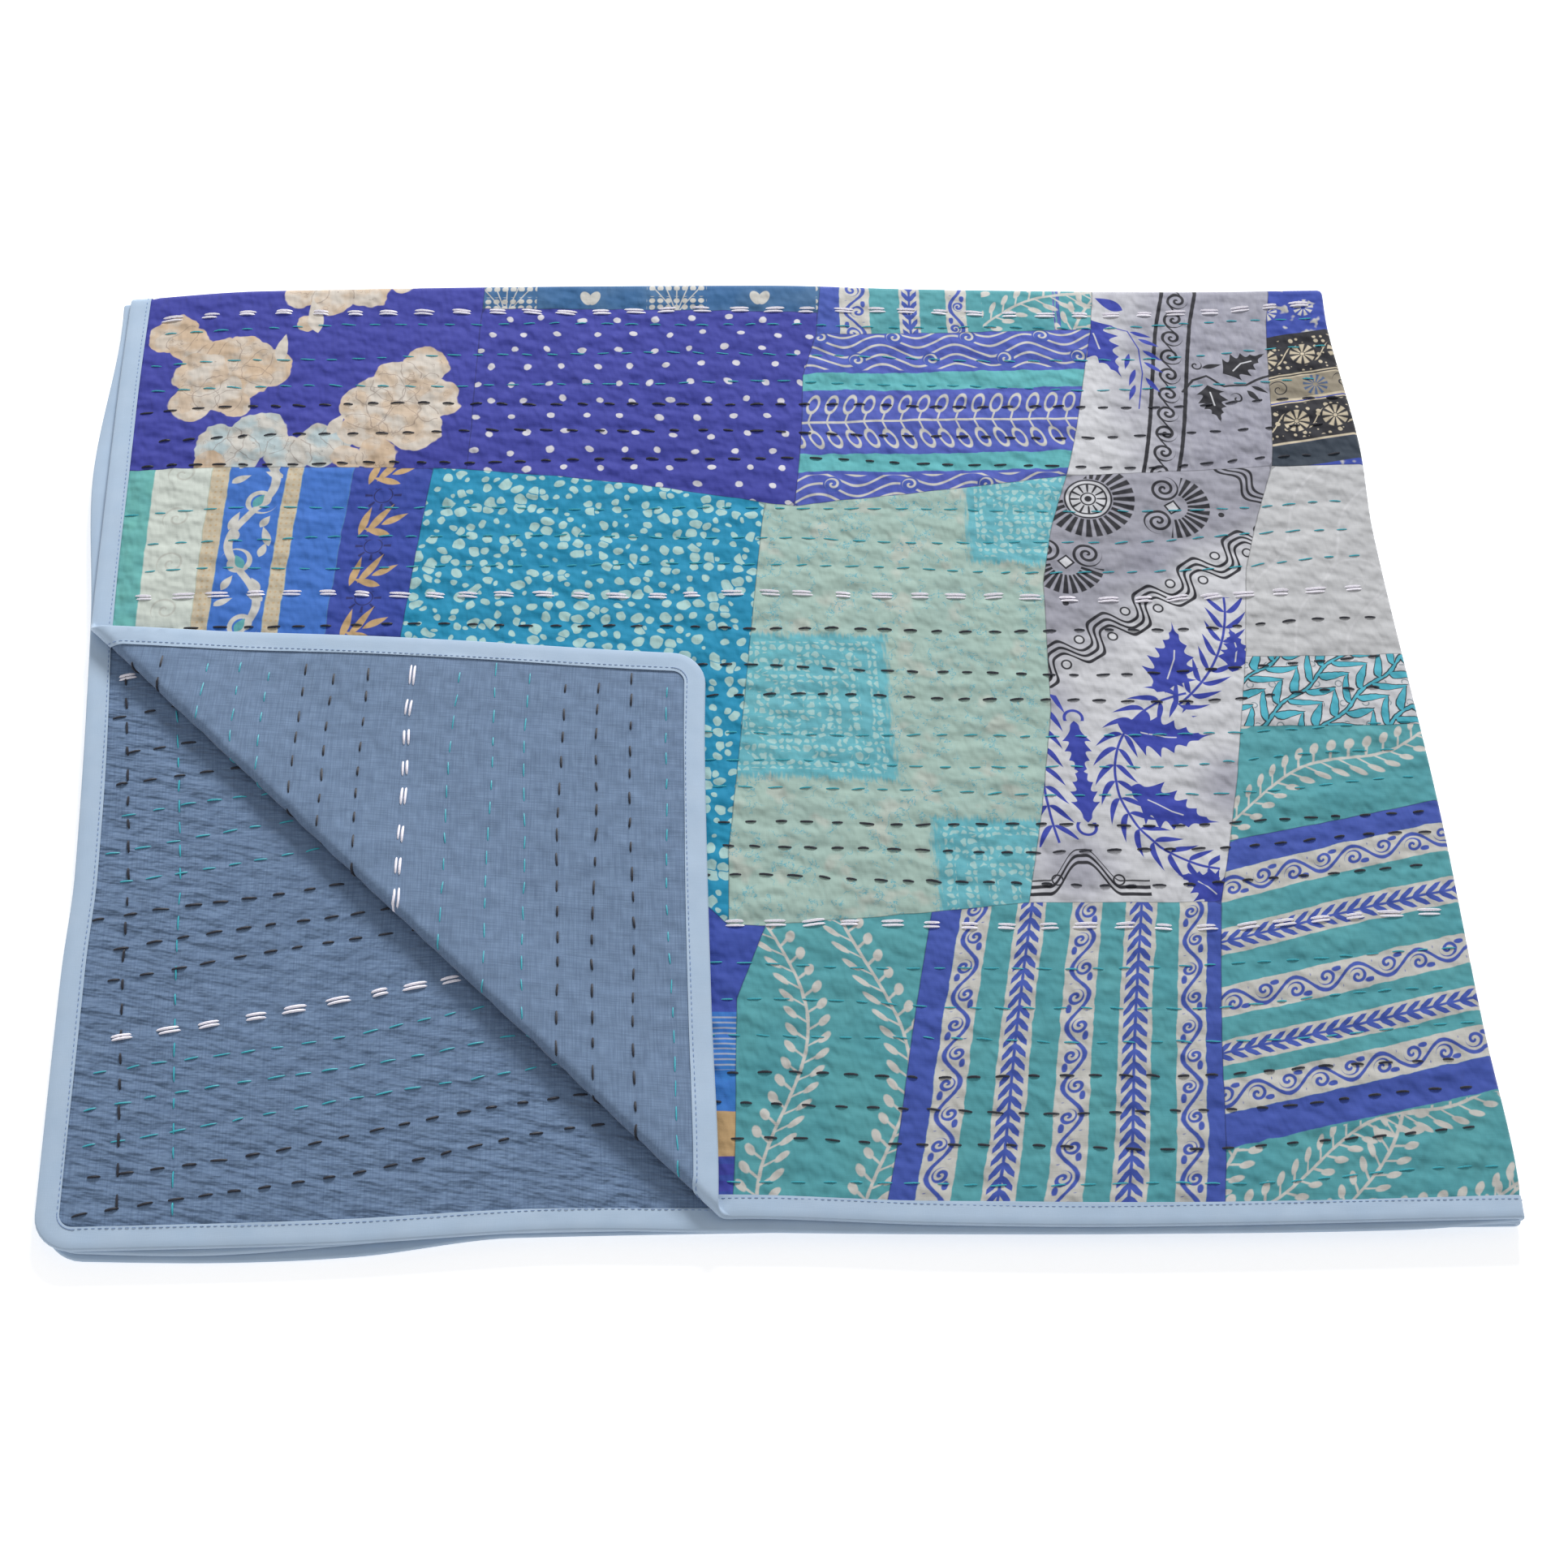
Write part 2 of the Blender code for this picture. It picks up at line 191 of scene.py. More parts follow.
def settled(points, u, v):
    # Rolls the top layer's corner over its crease, then lets the whole pile swell and sink a little.
    points = points.copy()
    past = points[:, :2] @ creaseOutward + creaseDistance
    inTop = (u < quilt["width"] / 2) & (v < quilt["length"] / 2)
    radius = crease["rollRadius"]
    offset = points[:, 2] - topLayer
    angle = np.clip(past / radius, 0, np.pi)
    rolling = (past > 0) & (past < rollTurn)
    reach = np.where(rolling, (radius - offset) * np.sin(angle), rollTurn - past)
    laid = smooth(-reach / crease["settle"])
    rolledHeight = topLayer + radius - (radius - offset) * np.cos(angle)
    laidHeight = topLayer + 2 * radius + (flapHeight - 2 * radius) * laid - offset
    moves = inTop & (past > 0)
    points[:, 2] = np.where(moves, np.where(rolling, rolledHeight, laidHeight), points[:, 2])
    points[:, :2] += np.where(moves, reach - past, 0)[:, None] * creaseOutward
    swell = np.zeros(len(points))
    for share, wavesX, wavesY, start in swells:
        phase = wavesX * points[:, 0] / quilt["width"] + wavesY * points[:, 1] / quilt["length"]
        swell += share * (1 + np.sin(4 * np.pi * phase + start)) / 2
    points[:, 2] *= 1 + swell
    points[:, 0] -= quilt["pileMiddle"][0]
    points[:, 1] -= quilt["pileMiddle"][1]
    return points


def unevenness(u, v, lump, start, stretch=1.0):
    # A soft uneven field from -1 to 1, with lumps of about the given width.
    total = np.zeros(np.shape(u))
    for k in range(7):
        turn = start * 1.7 + k * 2.4
        pitch = lump * (0.75 + 0.11 * k)
        way = u * math.cos(turn) / stretch + v * math.sin(turn)
        total += np.sin(2 * np.pi * way / pitch + start * (k + 1.3) * 5.1)
    return total / 4.2


# The rows of running stitches on the top layer. Columns: place from the front edge, thread.
topRows = (
    (0.0218, "teal"), (0.0435, "black"), (0.0643, "black"), (0.0835, "black"),
    (0.1040, "teal"), (0.1252, "teal"), (0.1482, "teal"), (0.1731, "white"),
    (0.2010, "black"), (0.2217, "black"), (0.2374, "black"),
    (0.2586, "teal"), (0.2774, "teal"), (0.2965, "teal"),
    (0.3214, "black"), (0.3411, "black"), (0.3696, "black"), (0.3929, "white"),
    (0.4135, "teal"), (0.4344, "teal"), (0.4568, "teal"),
    (0.4926, "black"), (0.5149, "black"), (0.5369, "black"),
    (0.5531, "teal"), (0.5761, "teal"), (0.6013, "teal"), (0.6127, "white"),
)
# The rows on the bared backing of the second layer, measured from its left edge, and two rows across them.
slateRows = (
    (0.018, "black"), (0.038, "black"), (0.058, "teal"), (0.078, "teal"), (0.097, "teal"),
    (0.117, "white"), (0.153, "black"), (0.170, "black"), (0.190, "black"),
    (0.213, "teal"), (0.233, "teal"), (0.254, "teal"),
    (0.275, "black"), (0.297, "black"), (0.322, "black"), (0.347, "white"),
)
slateCross = ((0.040, "black"), (0.068, "teal"))
rowWay = {"slateSlope": 0.15, "rise": 0.011, "riseStart": 0.60, "bow": 0.0012}
threads = {
    "teal": {"radius": 0.00046, "length": 0.0084, "pitch": 0.0152, "strands": 1, "apart": 0.0},
    "black": {"radius": 0.00070, "length": 0.0080, "pitch": 0.0158, "strands": 1, "apart": 0.0},
    "white": {"radius": 0.00082, "length": 0.0122, "pitch": 0.0215, "strands": 2, "apart": 0.0022},
}


def topRowPlace(row, u):
    # A row bows a little on its way, and climbs towards the right fold.
    bow = rowWay["bow"] * np.sin(u * 14 + row * 1.9) + 0.0006 * np.sin(u * 47 + row * 2.7)
    return topRows[row][0] + bow + rowWay["rise"] * smooth((u - rowWay["riseStart"]) / 0.16) * 0.8


def slateRowPlace(row, x):
    return slateRows[row][0] + rowWay["slateSlope"] * (x - 0.02) + 0.0012 * np.sin(x * 31 + row * 1.7)


# How the quilting raises the cloth between its rows
puffs = {
    "depth": 0.00110, "width": 0.0050, "pucker": 0.00056, "seamDepth": 0.00050, "seamWidth": 0.0032,
    "seamShade": 0.0022, "lowest": -0.00105, "highest": 0.00100, "highestInFlap": 0.00040,
    "flapArea": (0.385, 0.395),
    "slateDepth": 0.00062, "slateWrinkle": 0.00062, "slateLowest": -0.00085, "slateHighest": 0.00110,
}


def stitchTroughs(distance, phase):
    # A row draws the cloth in, most where its thread goes through.
    drawn = 0.62 + 0.38 * np.cos(phase)
    return np.exp(-((distance / puffs["width"]) ** 2)) * drawn


def topTroughs(u, v):
    # How deep each point lies in the furrows of the top layer's rows, from 0 to 1.
    total = np.zeros(np.shape(u))
    for row, (_, thread) in enumerate(topRows):
        phase = 2 * np.pi * u / threads[thread]["pitch"] + row * 2.1
        total = np.maximum(total, stitchTroughs(v - topRowPlace(row, u), phase))
    return total


def slateTroughs(u, v):
    # The same for the rows on the bared backing.
    x = quilt["width"] - u
    total = np.zeros(np.shape(u))
    for row, (_, thread) in enumerate(slateRows):
        phase = 2 * np.pi * x / threads[thread]["pitch"] + row * 2.1
        total = np.maximum(total, stitchTroughs(v - slateRowPlace(row, x), phase))
    for place, _ in slateCross:
        total = np.maximum(total, stitchTroughs(x - place + 0.06 * (v - 0.04), 420 * v))
    return total


# Creases placed one by one. Columns: start (u, v), end (u, v), height, half width.
topCreases = (
    ((0.300, 0.470), (0.345, 0.462), 0.0006, 0.0028),
    ((0.655, 0.250), (0.755, 0.268), 0.0007, 0.0040),
    ((0.640, 0.610), (0.700, 0.628), 0.0005, 0.0040),
    ((0.395, 0.545), (0.470, 0.552), -0.0005, 0.0040),
    ((0.690, 0.395), (0.752, 0.440), 0.0007, 0.0050),
    ((0.480, 0.225), (0.520, 0.262), 0.0006, 0.0035),
    ((0.030, 0.510), (0.052, 0.524), 0.0006, 0.0035),
    ((0.540, 0.040), (0.562, 0.120), 0.0004, 0.0045),
)
slateCreases = (
    ((1.480, 0.060), (1.455, 0.130), 0.0007, 0.0040),
    ((1.488, 0.180), (1.440, 0.215), 0.0007, 0.0035),
    ((1.470, 0.260), (1.420, 0.275), 0.0006, 0.0040),
    ((1.380, 0.075), (1.300, 0.090), 0.0006, 0.0050),
    ((1.400, 0.170), (1.350, 0.190), -0.0006, 0.0045),
    ((1.440, 0.030), (1.360, 0.036), 0.0006, 0.0040),
)


def toSegment(u, v, start, end):
    # How far each point lies from a straight line, and its share of the way along it.
    way = np.array(end) - np.array(start)
    share = ((u - start[0]) * way[0] + (v - start[1]) * way[1]) / (way @ way)
    share = np.clip(share, 0, 1)
    return np.hypot(u - start[0] - share * way[0], v - start[1] - share * way[1]), share


def creased(u, v, creases):
    total = np.zeros(np.shape(u))
    for start, end, height, width in creases:
        distance, share = toSegment(u, v, start, end)
        total += height * np.exp(-((distance / width) ** 2)) * (0.25 + np.sin(np.pi * share))
    return total


# The patches of the top layer, in millimetres on the open quilt: print, then the corners in turn.
patches = (
    ("blossom", (2, 660), (224, 660), (222, 615), (214, 486), (194, 487), (2, 492)),
    ("steel", (224, 660), (439, 660), (435, 611), (222, 615)),
    ("spots", (222, 615), (435, 611), (433, 593), (422, 559), (412, 458), (394, 460), (312, 475), (214, 486)),
    ("fan", (439, 660), (615, 660), (609, 602), (433, 593), (435, 611)),
    ("waves", (433, 593), (609, 602), (578, 485), (412, 458), (422, 559)),
    ("sprig", (615, 660), (731, 660), (705, 492), (578, 485), (609, 602)),
    ("daisy", (731, 660), (800, 660), (800, 492), (705, 492)),
    ("scrolls", (2, 492), (194, 487), (178, 362), (2, 369)),
    ("pebbles", (194, 487), (214, 486), (312, 475), (394, 460), (361, 219), (359, 171), (178, 362)),
    ("mint", (394, 460), (412, 458), (578, 485), (566, 445), (557, 406), (550, 315), (537, 248), (524, 189),
     (470, 182), (379, 171), (359, 171), (361, 219)),
    ("paisley", (578, 485), (705, 492), (680, 415), (669, 352), (658, 304), (650, 268), (640, 228),
     (630, 189), (524, 189), (537, 248), (550, 315), (557, 406), (566, 445)),
    ("grey", (705, 492), (800, 492), (800, 352), (669, 352), (680, 415)),
    ("leafy", (669, 352), (800, 352), (800, 303), (658, 304)),
    ("buds", (658, 304), (800, 303), (800, 260), (640, 228), (650, 268)),
    ("slant", (640, 228), (800, 260), (800, 2), (605, 2), (630, 189)),
    ("bluePiece", (359, 171), (379, 171), (361, 126), (356, 66), (351, 2), (340, 2), (340, 190)),
    ("branch", (379, 171), (470, 182), (429, 2), (351, 2), (356, 66), (361, 126)),
    ("stripes", (470, 182), (524, 189), (630, 189), (605, 2), (429, 2)),
    ("scrolls", (178, 362), (340, 190), (340, 2), (200, 2)),
)
# The plain blocks of the hidden layers
otherPatches = {"across": 8, "down": 6}


def spread(*stops):
    # Places for grid lines. Each stop gives a start, an end and the widest step between them.
    places = []
    for start, end, step in stops:
        count = max(1, math.ceil(round((end - start) / step, 6)))
        places += list(np.linspace(start, end, count, endpoint=False))
    places.append(stops[-1][1])
    return np.array(places)


def gridOf(us, vs):
    # A flat grid with its lines at the given places, pulled in to the rounded outline.
    bm = bmesh.new()
    bmesh.ops.create_grid(bm, x_segments=len(us) - 1, y_segments=len(vs) - 1, size=0.5)
    radius = quilt["cornerRadius"]
    reach = radius - quilt["panelInset"]
    for vert in bm.verts:
        u = us[round((vert.co.x + 0.5) * (len(us) - 1))]
        v = vs[round((vert.co.y + 0.5) * (len(vs) - 1))]
        nearU = min(max(u, radius), quilt["width"] - radius)
        nearV = min(max(v, radius), quilt["length"] - radius)
        out = math.hypot(u - nearU, v - nearV)
        if u != nearU and v != nearV and out > reach:
            u = nearU + (u - nearU) * reach / out
            v = nearV + (v - nearV) * reach / out
        vert.co = (u, v, 0)
    return bm


def cut(bm, faces, point, normal):
    # Scores a line across the given faces, without taking anything away.
    edges = {edge for face in faces for edge in face.edges}
    verts = {vert for face in faces for vert in face.verts}
    bmesh.ops.bisect_plane(bm, geom=[*faces, *edges, *verts], dist=1e-7, plane_co=point, plane_no=normal)


def bendLines(bm):
    # Scores lines across both folds, so that the cloth can bend there.
    for bend, axis, count in ((rightBend, 0, 8), (backBend, 1, 10)):
        for place in np.linspace(bend[0], bend[1], count + 1):
            normal = (1, 0, 0) if axis == 0 else (0, 1, 0)
            near = []
            for face in bm.faces:
                sides = [vert.co[axis] for vert in face.verts]
                if min(sides) < place < max(sides):
                    near.append(face)
            if near:
                cut(bm, near, (place, place, 0), normal)


def keepFlat(bm):
    # Notes each point's place on the flat quilt, for the prints.
    layer = bm.verts.layers.float_vector.new("flat")
    for vert in bm.verts:
        vert[layer] = vert.co


def cutCrease(bm):
    # Scores the top layer along the crease's roll, once the cloth is folded and not yet turned back.
    flat = bm.verts.layers.float_vector["flat"]
    lines = [*np.linspace(0, rollTurn, 9), *(rollTurn + np.array((0.004, 0.009, 0.015, 0.022)))]
    outX, outY = float(creaseOutward[0]), float(creaseOutward[1])
    for past in lines:
        near = []
        for face in bm.faces:
            first = face.verts[0].co
            place = face.verts[0][flat]
            beyond = first.x * outX + first.y * outY + creaseDistance - past
            if place.x > 0.5 or place.y > 0.5 or abs(beyond) > 0.12:
                continue
            sides = [vert.co.x * outX + vert.co.y * outY + creaseDistance - past for vert in face.verts]
            if min(sides) < 0 < max(sides):
                near.append(face)
        start = creaseOutward * (past - creaseDistance)
        cut(bm, near, (start[0], start[1], 0), (outX, outY, 0))


def foldUp(bm):
    # Folds a flat panel, scores its crease and turns the corner back.
    flat = np.array([vert.co[:] for vert in bm.verts])
    for vert, place in zip(bm.verts, folded(*flat.T)):
        vert.co = place
    cutCrease(bm)
    layer = bm.verts.layers.float_vector["flat"]
    flat = np.array([vert[layer][:] for vert in bm.verts])
    points = settled(np.array([vert.co[:] for vert in bm.verts]), flat[:, 0], flat[:, 1])
    for vert, place in zip(bm.verts, points):
        vert.co = place


def finishPiece(name, bm, materials, sharpAngle=50):
    # Makes the object, with each point's place on the flat quilt as its UV map.
    mesh = bpy.data.meshes.new(name)
    bmesh.ops.recalc_face_normals(bm, faces=bm.faces)
    bm.to_mesh(mesh)
    bm.free()
    for material in materials:
        mesh.materials.append(material)
    if "flat" in mesh.attributes:
        places = np.empty(len(mesh.vertices) * 3, np.float32)
        mesh.attributes["flat"].data.foreach_get("vector", places)
        corners = np.empty(len(mesh.loops), np.int32)
        mesh.loops.foreach_get("vertex_index", corners)
        layer = mesh.uv_layers.new(name="flatCloth")
        layer.data.foreach_set("uv", places.reshape(-1, 3)[corners, :2].ravel())
    mesh.shade_smooth()
    mesh.set_sharp_from_angle(angle=math.radians(sharpAngle))
    piece = bpy.data.objects.new(name, mesh)
    bpy.context.scene.collection.objects.link(piece)
    print(f"{name}: {len(mesh.polygons)} faces")
    return piece


def seamEnds():
    # Each seam between patches once, in metres.
    found = []
    for _, *corners in patches:
        for start, end in zip(corners, corners[1:] + corners[:1]):
            found.append((np.array(start) / 1000, np.array(end) / 1000))
    return found


def seamDistance(u, v):
    nearest = np.full(np.shape(u), 1.0)
    for start, end in seamEnds():
        nearest = np.minimum(nearest, toSegment(u, v, start, end)[0])
    return nearest


def faceHeight(u, v):
    # The height of the patchwork over the quilt's middle, with its stitch rows, seams and creases.
    share = loftShare(u, v)
    onTop = smooth((rightBend[0] - 0.004 - u) / 0.012) * smooth((backBend[0] - 0.004 - v) / 0.012)
    rows = topTroughs(u, v)
    pucker = unevenness(u, v, 0.014, 1.0, 1.5) * 0.65 + unevenness(u, v, 0.043, 2.0) * 0.6
    seam = np.exp(-((seamDistance(u, v) / puffs["seamWidth"]) ** 2))
    detail = 0.00012 + puffs["pucker"] * pucker * (1 - 0.5 * rows)
    detail -= puffs["depth"] * rows
    detail -= puffs["seamDepth"] * seam
    detail += creased(u, v, topCreases)
    flapU, flapV = puffs["flapArea"]
    inFlap = smooth((flapU - u) / 0.012) * smooth((flapV - v) / 0.012)
    highest = puffs["highest"] + (puffs["highestInFlap"] - puffs["highest"]) * inFlap
    base = quilt["facePressed"] + (quilt["faceFull"] - quilt["facePressed"]) * share
    return base + np.clip(detail, puffs["lowest"], highest) * onTop * share


def slateHeight(u, v):
    # How far the slate backing stands off the quilt's middle, as a positive number.
    share = loftShare(u, v)
    reach = quilt["flapReach"]
    onFlap = smooth((reach - u) / 0.02) * smooth((reach - v) / 0.02)
    bared = smooth((u - quilt["width"] + reach) / 0.02) * smooth((reach - v) / 0.02)
    flapRows = topTroughs(u, v)
    baredRows = slateTroughs(u, v)
    crinkle = unevenness(u + 0.4 * v, v, 0.011, 3.0, 1.7) * 0.5 + unevenness(u, v, 0.024, 5.0, 0.8) * 0.6
    nearEdge = 0.6 + 0.9 * np.exp(-np.minimum(quilt["width"] - u, v) / 0.03)
    mirrored = (quilt["width"] - u) * creaseOutward[0] + v * creaseOutward[1] + creaseDistance
    openAir = smooth((mirrored - 0.004) / 0.025)
    wrinkled = puffs["slateWrinkle"] * crinkle * nearEdge + creased(u, v, slateCreases)
    detail = onFlap * (-puffs["slateDepth"] * flapRows + 0.00026 * unevenness(u, v, 0.017, 4.0, 1.5))
    detail += bared * (-puffs["slateDepth"] * baredRows + openAir * wrinkled)
    base = -quilt["backingPressed"] + (quilt["backingPressed"] - quilt["backingFull"]) * share
    return base + np.clip(detail, puffs["slateLowest"], puffs["slateHighest"]) * share


def closePanel(bm, keptU, keptV, inner, outerHeight, side):
    # Gives a flat panel its thickness: the outer side takes its relief, and the inner side stays plain.
    raised = bmesh.ops.extrude_face_region(bm, geom=bm.faces[:])
    outer = [item for item in raised["geom"] if isinstance(item, bmesh.types.BMVert)]
    places = np.array([vert.co[:] for vert in outer])
    heights = side * outerHeight(places[:, 0], places[:, 1])
    for vert, height in zip(outer, heights):
        vert.co.z = height
    outerSet = set(outer)
    linesU = {round(u * 1e5) for u in keptU}
    linesV = {round(v * 1e5) for v in keptV}
    loose = []
    for edge in bm.edges:
        first, second = edge.verts
        if first in outerSet or second in outerSet or edge.is_boundary:
            continue
        onU = round(first.co.x * 1e5) == round(second.co.x * 1e5) and round(first.co.x * 1e5) in linesU
        onV = round(first.co.y * 1e5) == round(second.co.y * 1e5) and round(first.co.y * 1e5) in linesV
        beside = any(outerSet.intersection(face.verts) for face in edge.link_faces)
        if not (onU or onV or beside):
            loose.append(edge)
    for vert in bm.verts:
        if vert not in outerSet:
            vert.co.z = inner
    bmesh.ops.dissolve_edges(bm, edges=loose, use_verts=True)


def assignPrints(bm):
    # Every face takes the print of the patch that its middle lies in.
    faces = bm.faces[:]
    middles = np.array([face.calc_center_median()[:2] for face in faces]) * 1000
    across, down = otherPatches["across"], otherPatches["down"]
    column = np.clip(middles[:, 0] / (quilt["width"] * 1000) * across, 0, across - 1).astype(int)
    row = np.clip(middles[:, 1] / (quilt["length"] * 1000) * down, 0, down - 1).astype(int)
    chosen = (column * 5 + row * 3) % len(prints)
    loose = (middles[:, 0] < quilt["width"] * 500 + 10) & (middles[:, 1] < quilt["length"] * 500 + 10)
    for name, *corners in reversed(patches):
        inside = np.zeros(len(faces), bool)
        for (u1, v1), (u2, v2) in zip(corners, corners[1:] + corners[:1]):
            crosses = (v1 > middles[:, 1]) != (v2 > middles[:, 1])
            with np.errstate(divide="ignore", invalid="ignore"):
                at = (u2 - u1) * (middles[:, 1] - v1) / ((v2 - v1) or 1e-9) + u1
            inside ^= crosses & (middles[:, 0] < at)
        chosen[inside] = prints.index(name)
        loose &= ~inside
    places = middles[loose] / 1000
    nearest = np.full(len(places), 1.0)
    closest = chosen[loose]
    for name, *corners in patches:
        for start, end in zip(corners, corners[1:] + corners[:1]):
            start, end = np.array(start) / 1000, np.array(end) / 1000
            distance = toSegment(places[:, 0], places[:, 1], start, end)[0]
            closest[distance < nearest] = prints.index(name)
            nearest = np.minimum(nearest, distance)
    chosen[loose] = closest
    for face, index in zip(faces, chosen):
        face.material_index = int(index)


def cutSeams(bm):
    # Scores the patches' seams into the flat grid.
    for start, end in seamEnds():
        way = end - start
        length = float(np.hypot(*way))
        if length < 0.004:
            continue
        middleX, middleY = (start + end) / 2
        reachX, reachY = np.abs(way) / 2 + 0.0045
        near = []
        for face in bm.faces:
            if len(face.verts) < 3:
                continue
            centre = face.calc_center_median()
            if abs(centre.x - middleX) > reachX or abs(centre.y - middleY) > reachY:
                continue
            offset = ((centre.x - start[0]) * way[1] - (centre.y - start[1]) * way[0]) / length
            if abs(offset) < 0.006:
                near.append(face)
        if near:
            cut(bm, near, (start[0], start[1], 0), (way[1] / length, -way[0] / length, 0))


def foldPlaces(bend, step):
    # Grid lines across a fold, and a little way past it at both sides.
    lead = 0.015
    return spread((bend[0] - lead, bend[0], 0.005), (*bend, step), (bend[1], bend[1] + lead, 0.005))


def panelPlaces(full, folds, near, far, lastSteps=(0.0037, 0.0104)):
    # Grid lines across a panel. near and far are the stops between its pressed edges and its fold.
    inset, start, end = quilt["panelInset"], quilt["pressStart"], quilt["pressEnd"]
    before = spread((inset, start, 0.0052), (start, end, 0.0019), *near)
    past = spread(*far, (full - end, full - start, lastSteps[0]), (full - start, full - inset, lastSteps[1]))
    return np.concatenate((before[:-1], folds, past[1:]))


def patchworkPanel():
    width, length, end = quilt["width"], quilt["length"], quilt["pressEnd"]
    bendU = foldPlaces(rightBend, 0.0007)
    bendV = foldPlaces(backBend, 0.0012)
    us = panelPlaces(width, bendU, [(end, bendU[0], 0.0037)], [(bendU[-1], width - end, 0.03)])
    vs = panelPlaces(length, bendV, [(end, bendV[0], 0.0034)], [(bendV[-1], length - end, 0.03)])
    bm = gridOf(us, vs)
    cutSeams(bm)
    assignPrints(bm)
    keptU = [*us[::8], *bendU, *us[:5], *us[-3:]]
    keptV = [*vs[::8], *bendV, *vs[:5], *vs[-3:]]
    closePanel(bm, keptU, keptV, quilt["panelGap"] / 2, faceHeight, 1)
    keepFlat(bm)
    # Nearness to a seam, kept for the material's painted shade along the seams.
    seam = bm.verts.layers.float.new("seam")
    places = np.array([vert.co[:2] for vert in bm.verts])
    for vert, distance in zip(bm.verts, seamDistance(places[:, 0], places[:, 1])):
        vert[seam] = math.exp(-((distance / puffs["seamShade"]) ** 2))
    return bm


def slatePanel():
    width, length, end = quilt["width"], quilt["length"], quilt["pressEnd"]
    fine = quilt["fineReach"]
    bendU = foldPlaces(rightBend, 0.0007)
    bendV = foldPlaces(backBend, 0.0012)
    us = panelPlaces(width, bendU, [(end, fine, 0.0034), (fine, bendU[0], 0.03)],
                     [(bendU[-1], width - fine, 0.03), (width - fine, width - end, 0.0034)], (0.0019, 0.0052))
    vs = panelPlaces(length, bendV, [(end, fine, 0.0034), (fine, bendV[0], 0.03)],
                     [(bendV[-1], length - end, 0.03)])
    bm = gridOf(us, vs)
    keptU = [*us[::8], *bendU, *us[:5], *us[-5:]]
    keptV = [*vs[::8], *bendV, *vs[:5], *vs[-3:]]
    closePanel(bm, keptU, keptV, -quilt["panelGap"] / 2, slateHeight, -1)
    keepFlat(bm)
    return bm


binding = {
    "width": 0.0127, "cloth": 0.0005, "edge": 0.0024, "step": 0.0048, "cornerSteps": 8,
    "stitchInset": 0.0108, "stitchPitch": 0.0034, "stitchLength": 0.0023, "stitchRadius": 0.00022,
    "pucker": 0.00016, "groove": 0.00014, "joinHeight": 0.00030, "mostRelief": 0.0003,
    "joins": (0.455, 0.700, 1.90, 2.66, 3.40, 4.31),
}


def outlineStations(step):
    # Places round the rounded outline, with the way in: columns x, y, in x, in y, distance gone.
    radius = quilt["cornerRadius"]
    width, length = quilt["width"], quilt["length"]
    corners = ((width - radius, radius), (width - radius, length - radius), (radius, length - radius),
               (radius, radius))
    rows = []
    for quarter, (u, v) in enumerate(corners):
        for turn in np.linspace(0, 1, binding["cornerSteps"] + 1):
            angle = (quarter - 1 + turn) * math.pi / 2
            rows.append((u + radius * math.cos(angle), v + radius * math.sin(angle),
                         -math.cos(angle), -math.sin(angle)))
        following = corners[(quarter + 1) % 4]
        run = math.dist((u, v), following)
        last = rows[-1]
        for share in np.linspace(0, 1, max(2, round(run / step)), endpoint=False)[1:]:
            rows.append((last[0] + (following[0] - u) * share, last[1] + (following[1] - v) * share,
                         last[2], last[3]))
    rows = np.array(rows)
    gone = np.concatenate(((0,), np.cumsum(np.hypot(*np.diff(rows[:, :2], axis=0).T))))
    return np.column_stack((rows, gone))


def bindingRelief(gone, inset, side):
    # The tape's own unevenness: soft puckers towards its stitching, and a step at each join.
    stitched = smooth((inset - 0.002) / 0.004)
    relief = binding["pucker"] * unevenness(gone + side * 0.3, inset * 2.5, 0.013, 1.0) * stitched
    relief += 0.00008 * unevenness(gone + side * 0.2, inset, 0.05, 6.0) * stitched
    groove = np.exp(-(((inset - binding["stitchInset"]) / 0.0011) ** 2))
    for place in binding["joins"]:
        slanted = gone - place - (inset - 0.006) * 0.6 * side
        raised = smooth(slanted / 0.0035) * smooth((0.012 - slanted) / 0.008)
        relief = relief + binding["joinHeight"] * raised * stitched
    return np.clip(relief - binding["groove"] * groove, -binding["mostRelief"], binding["mostRelief"])


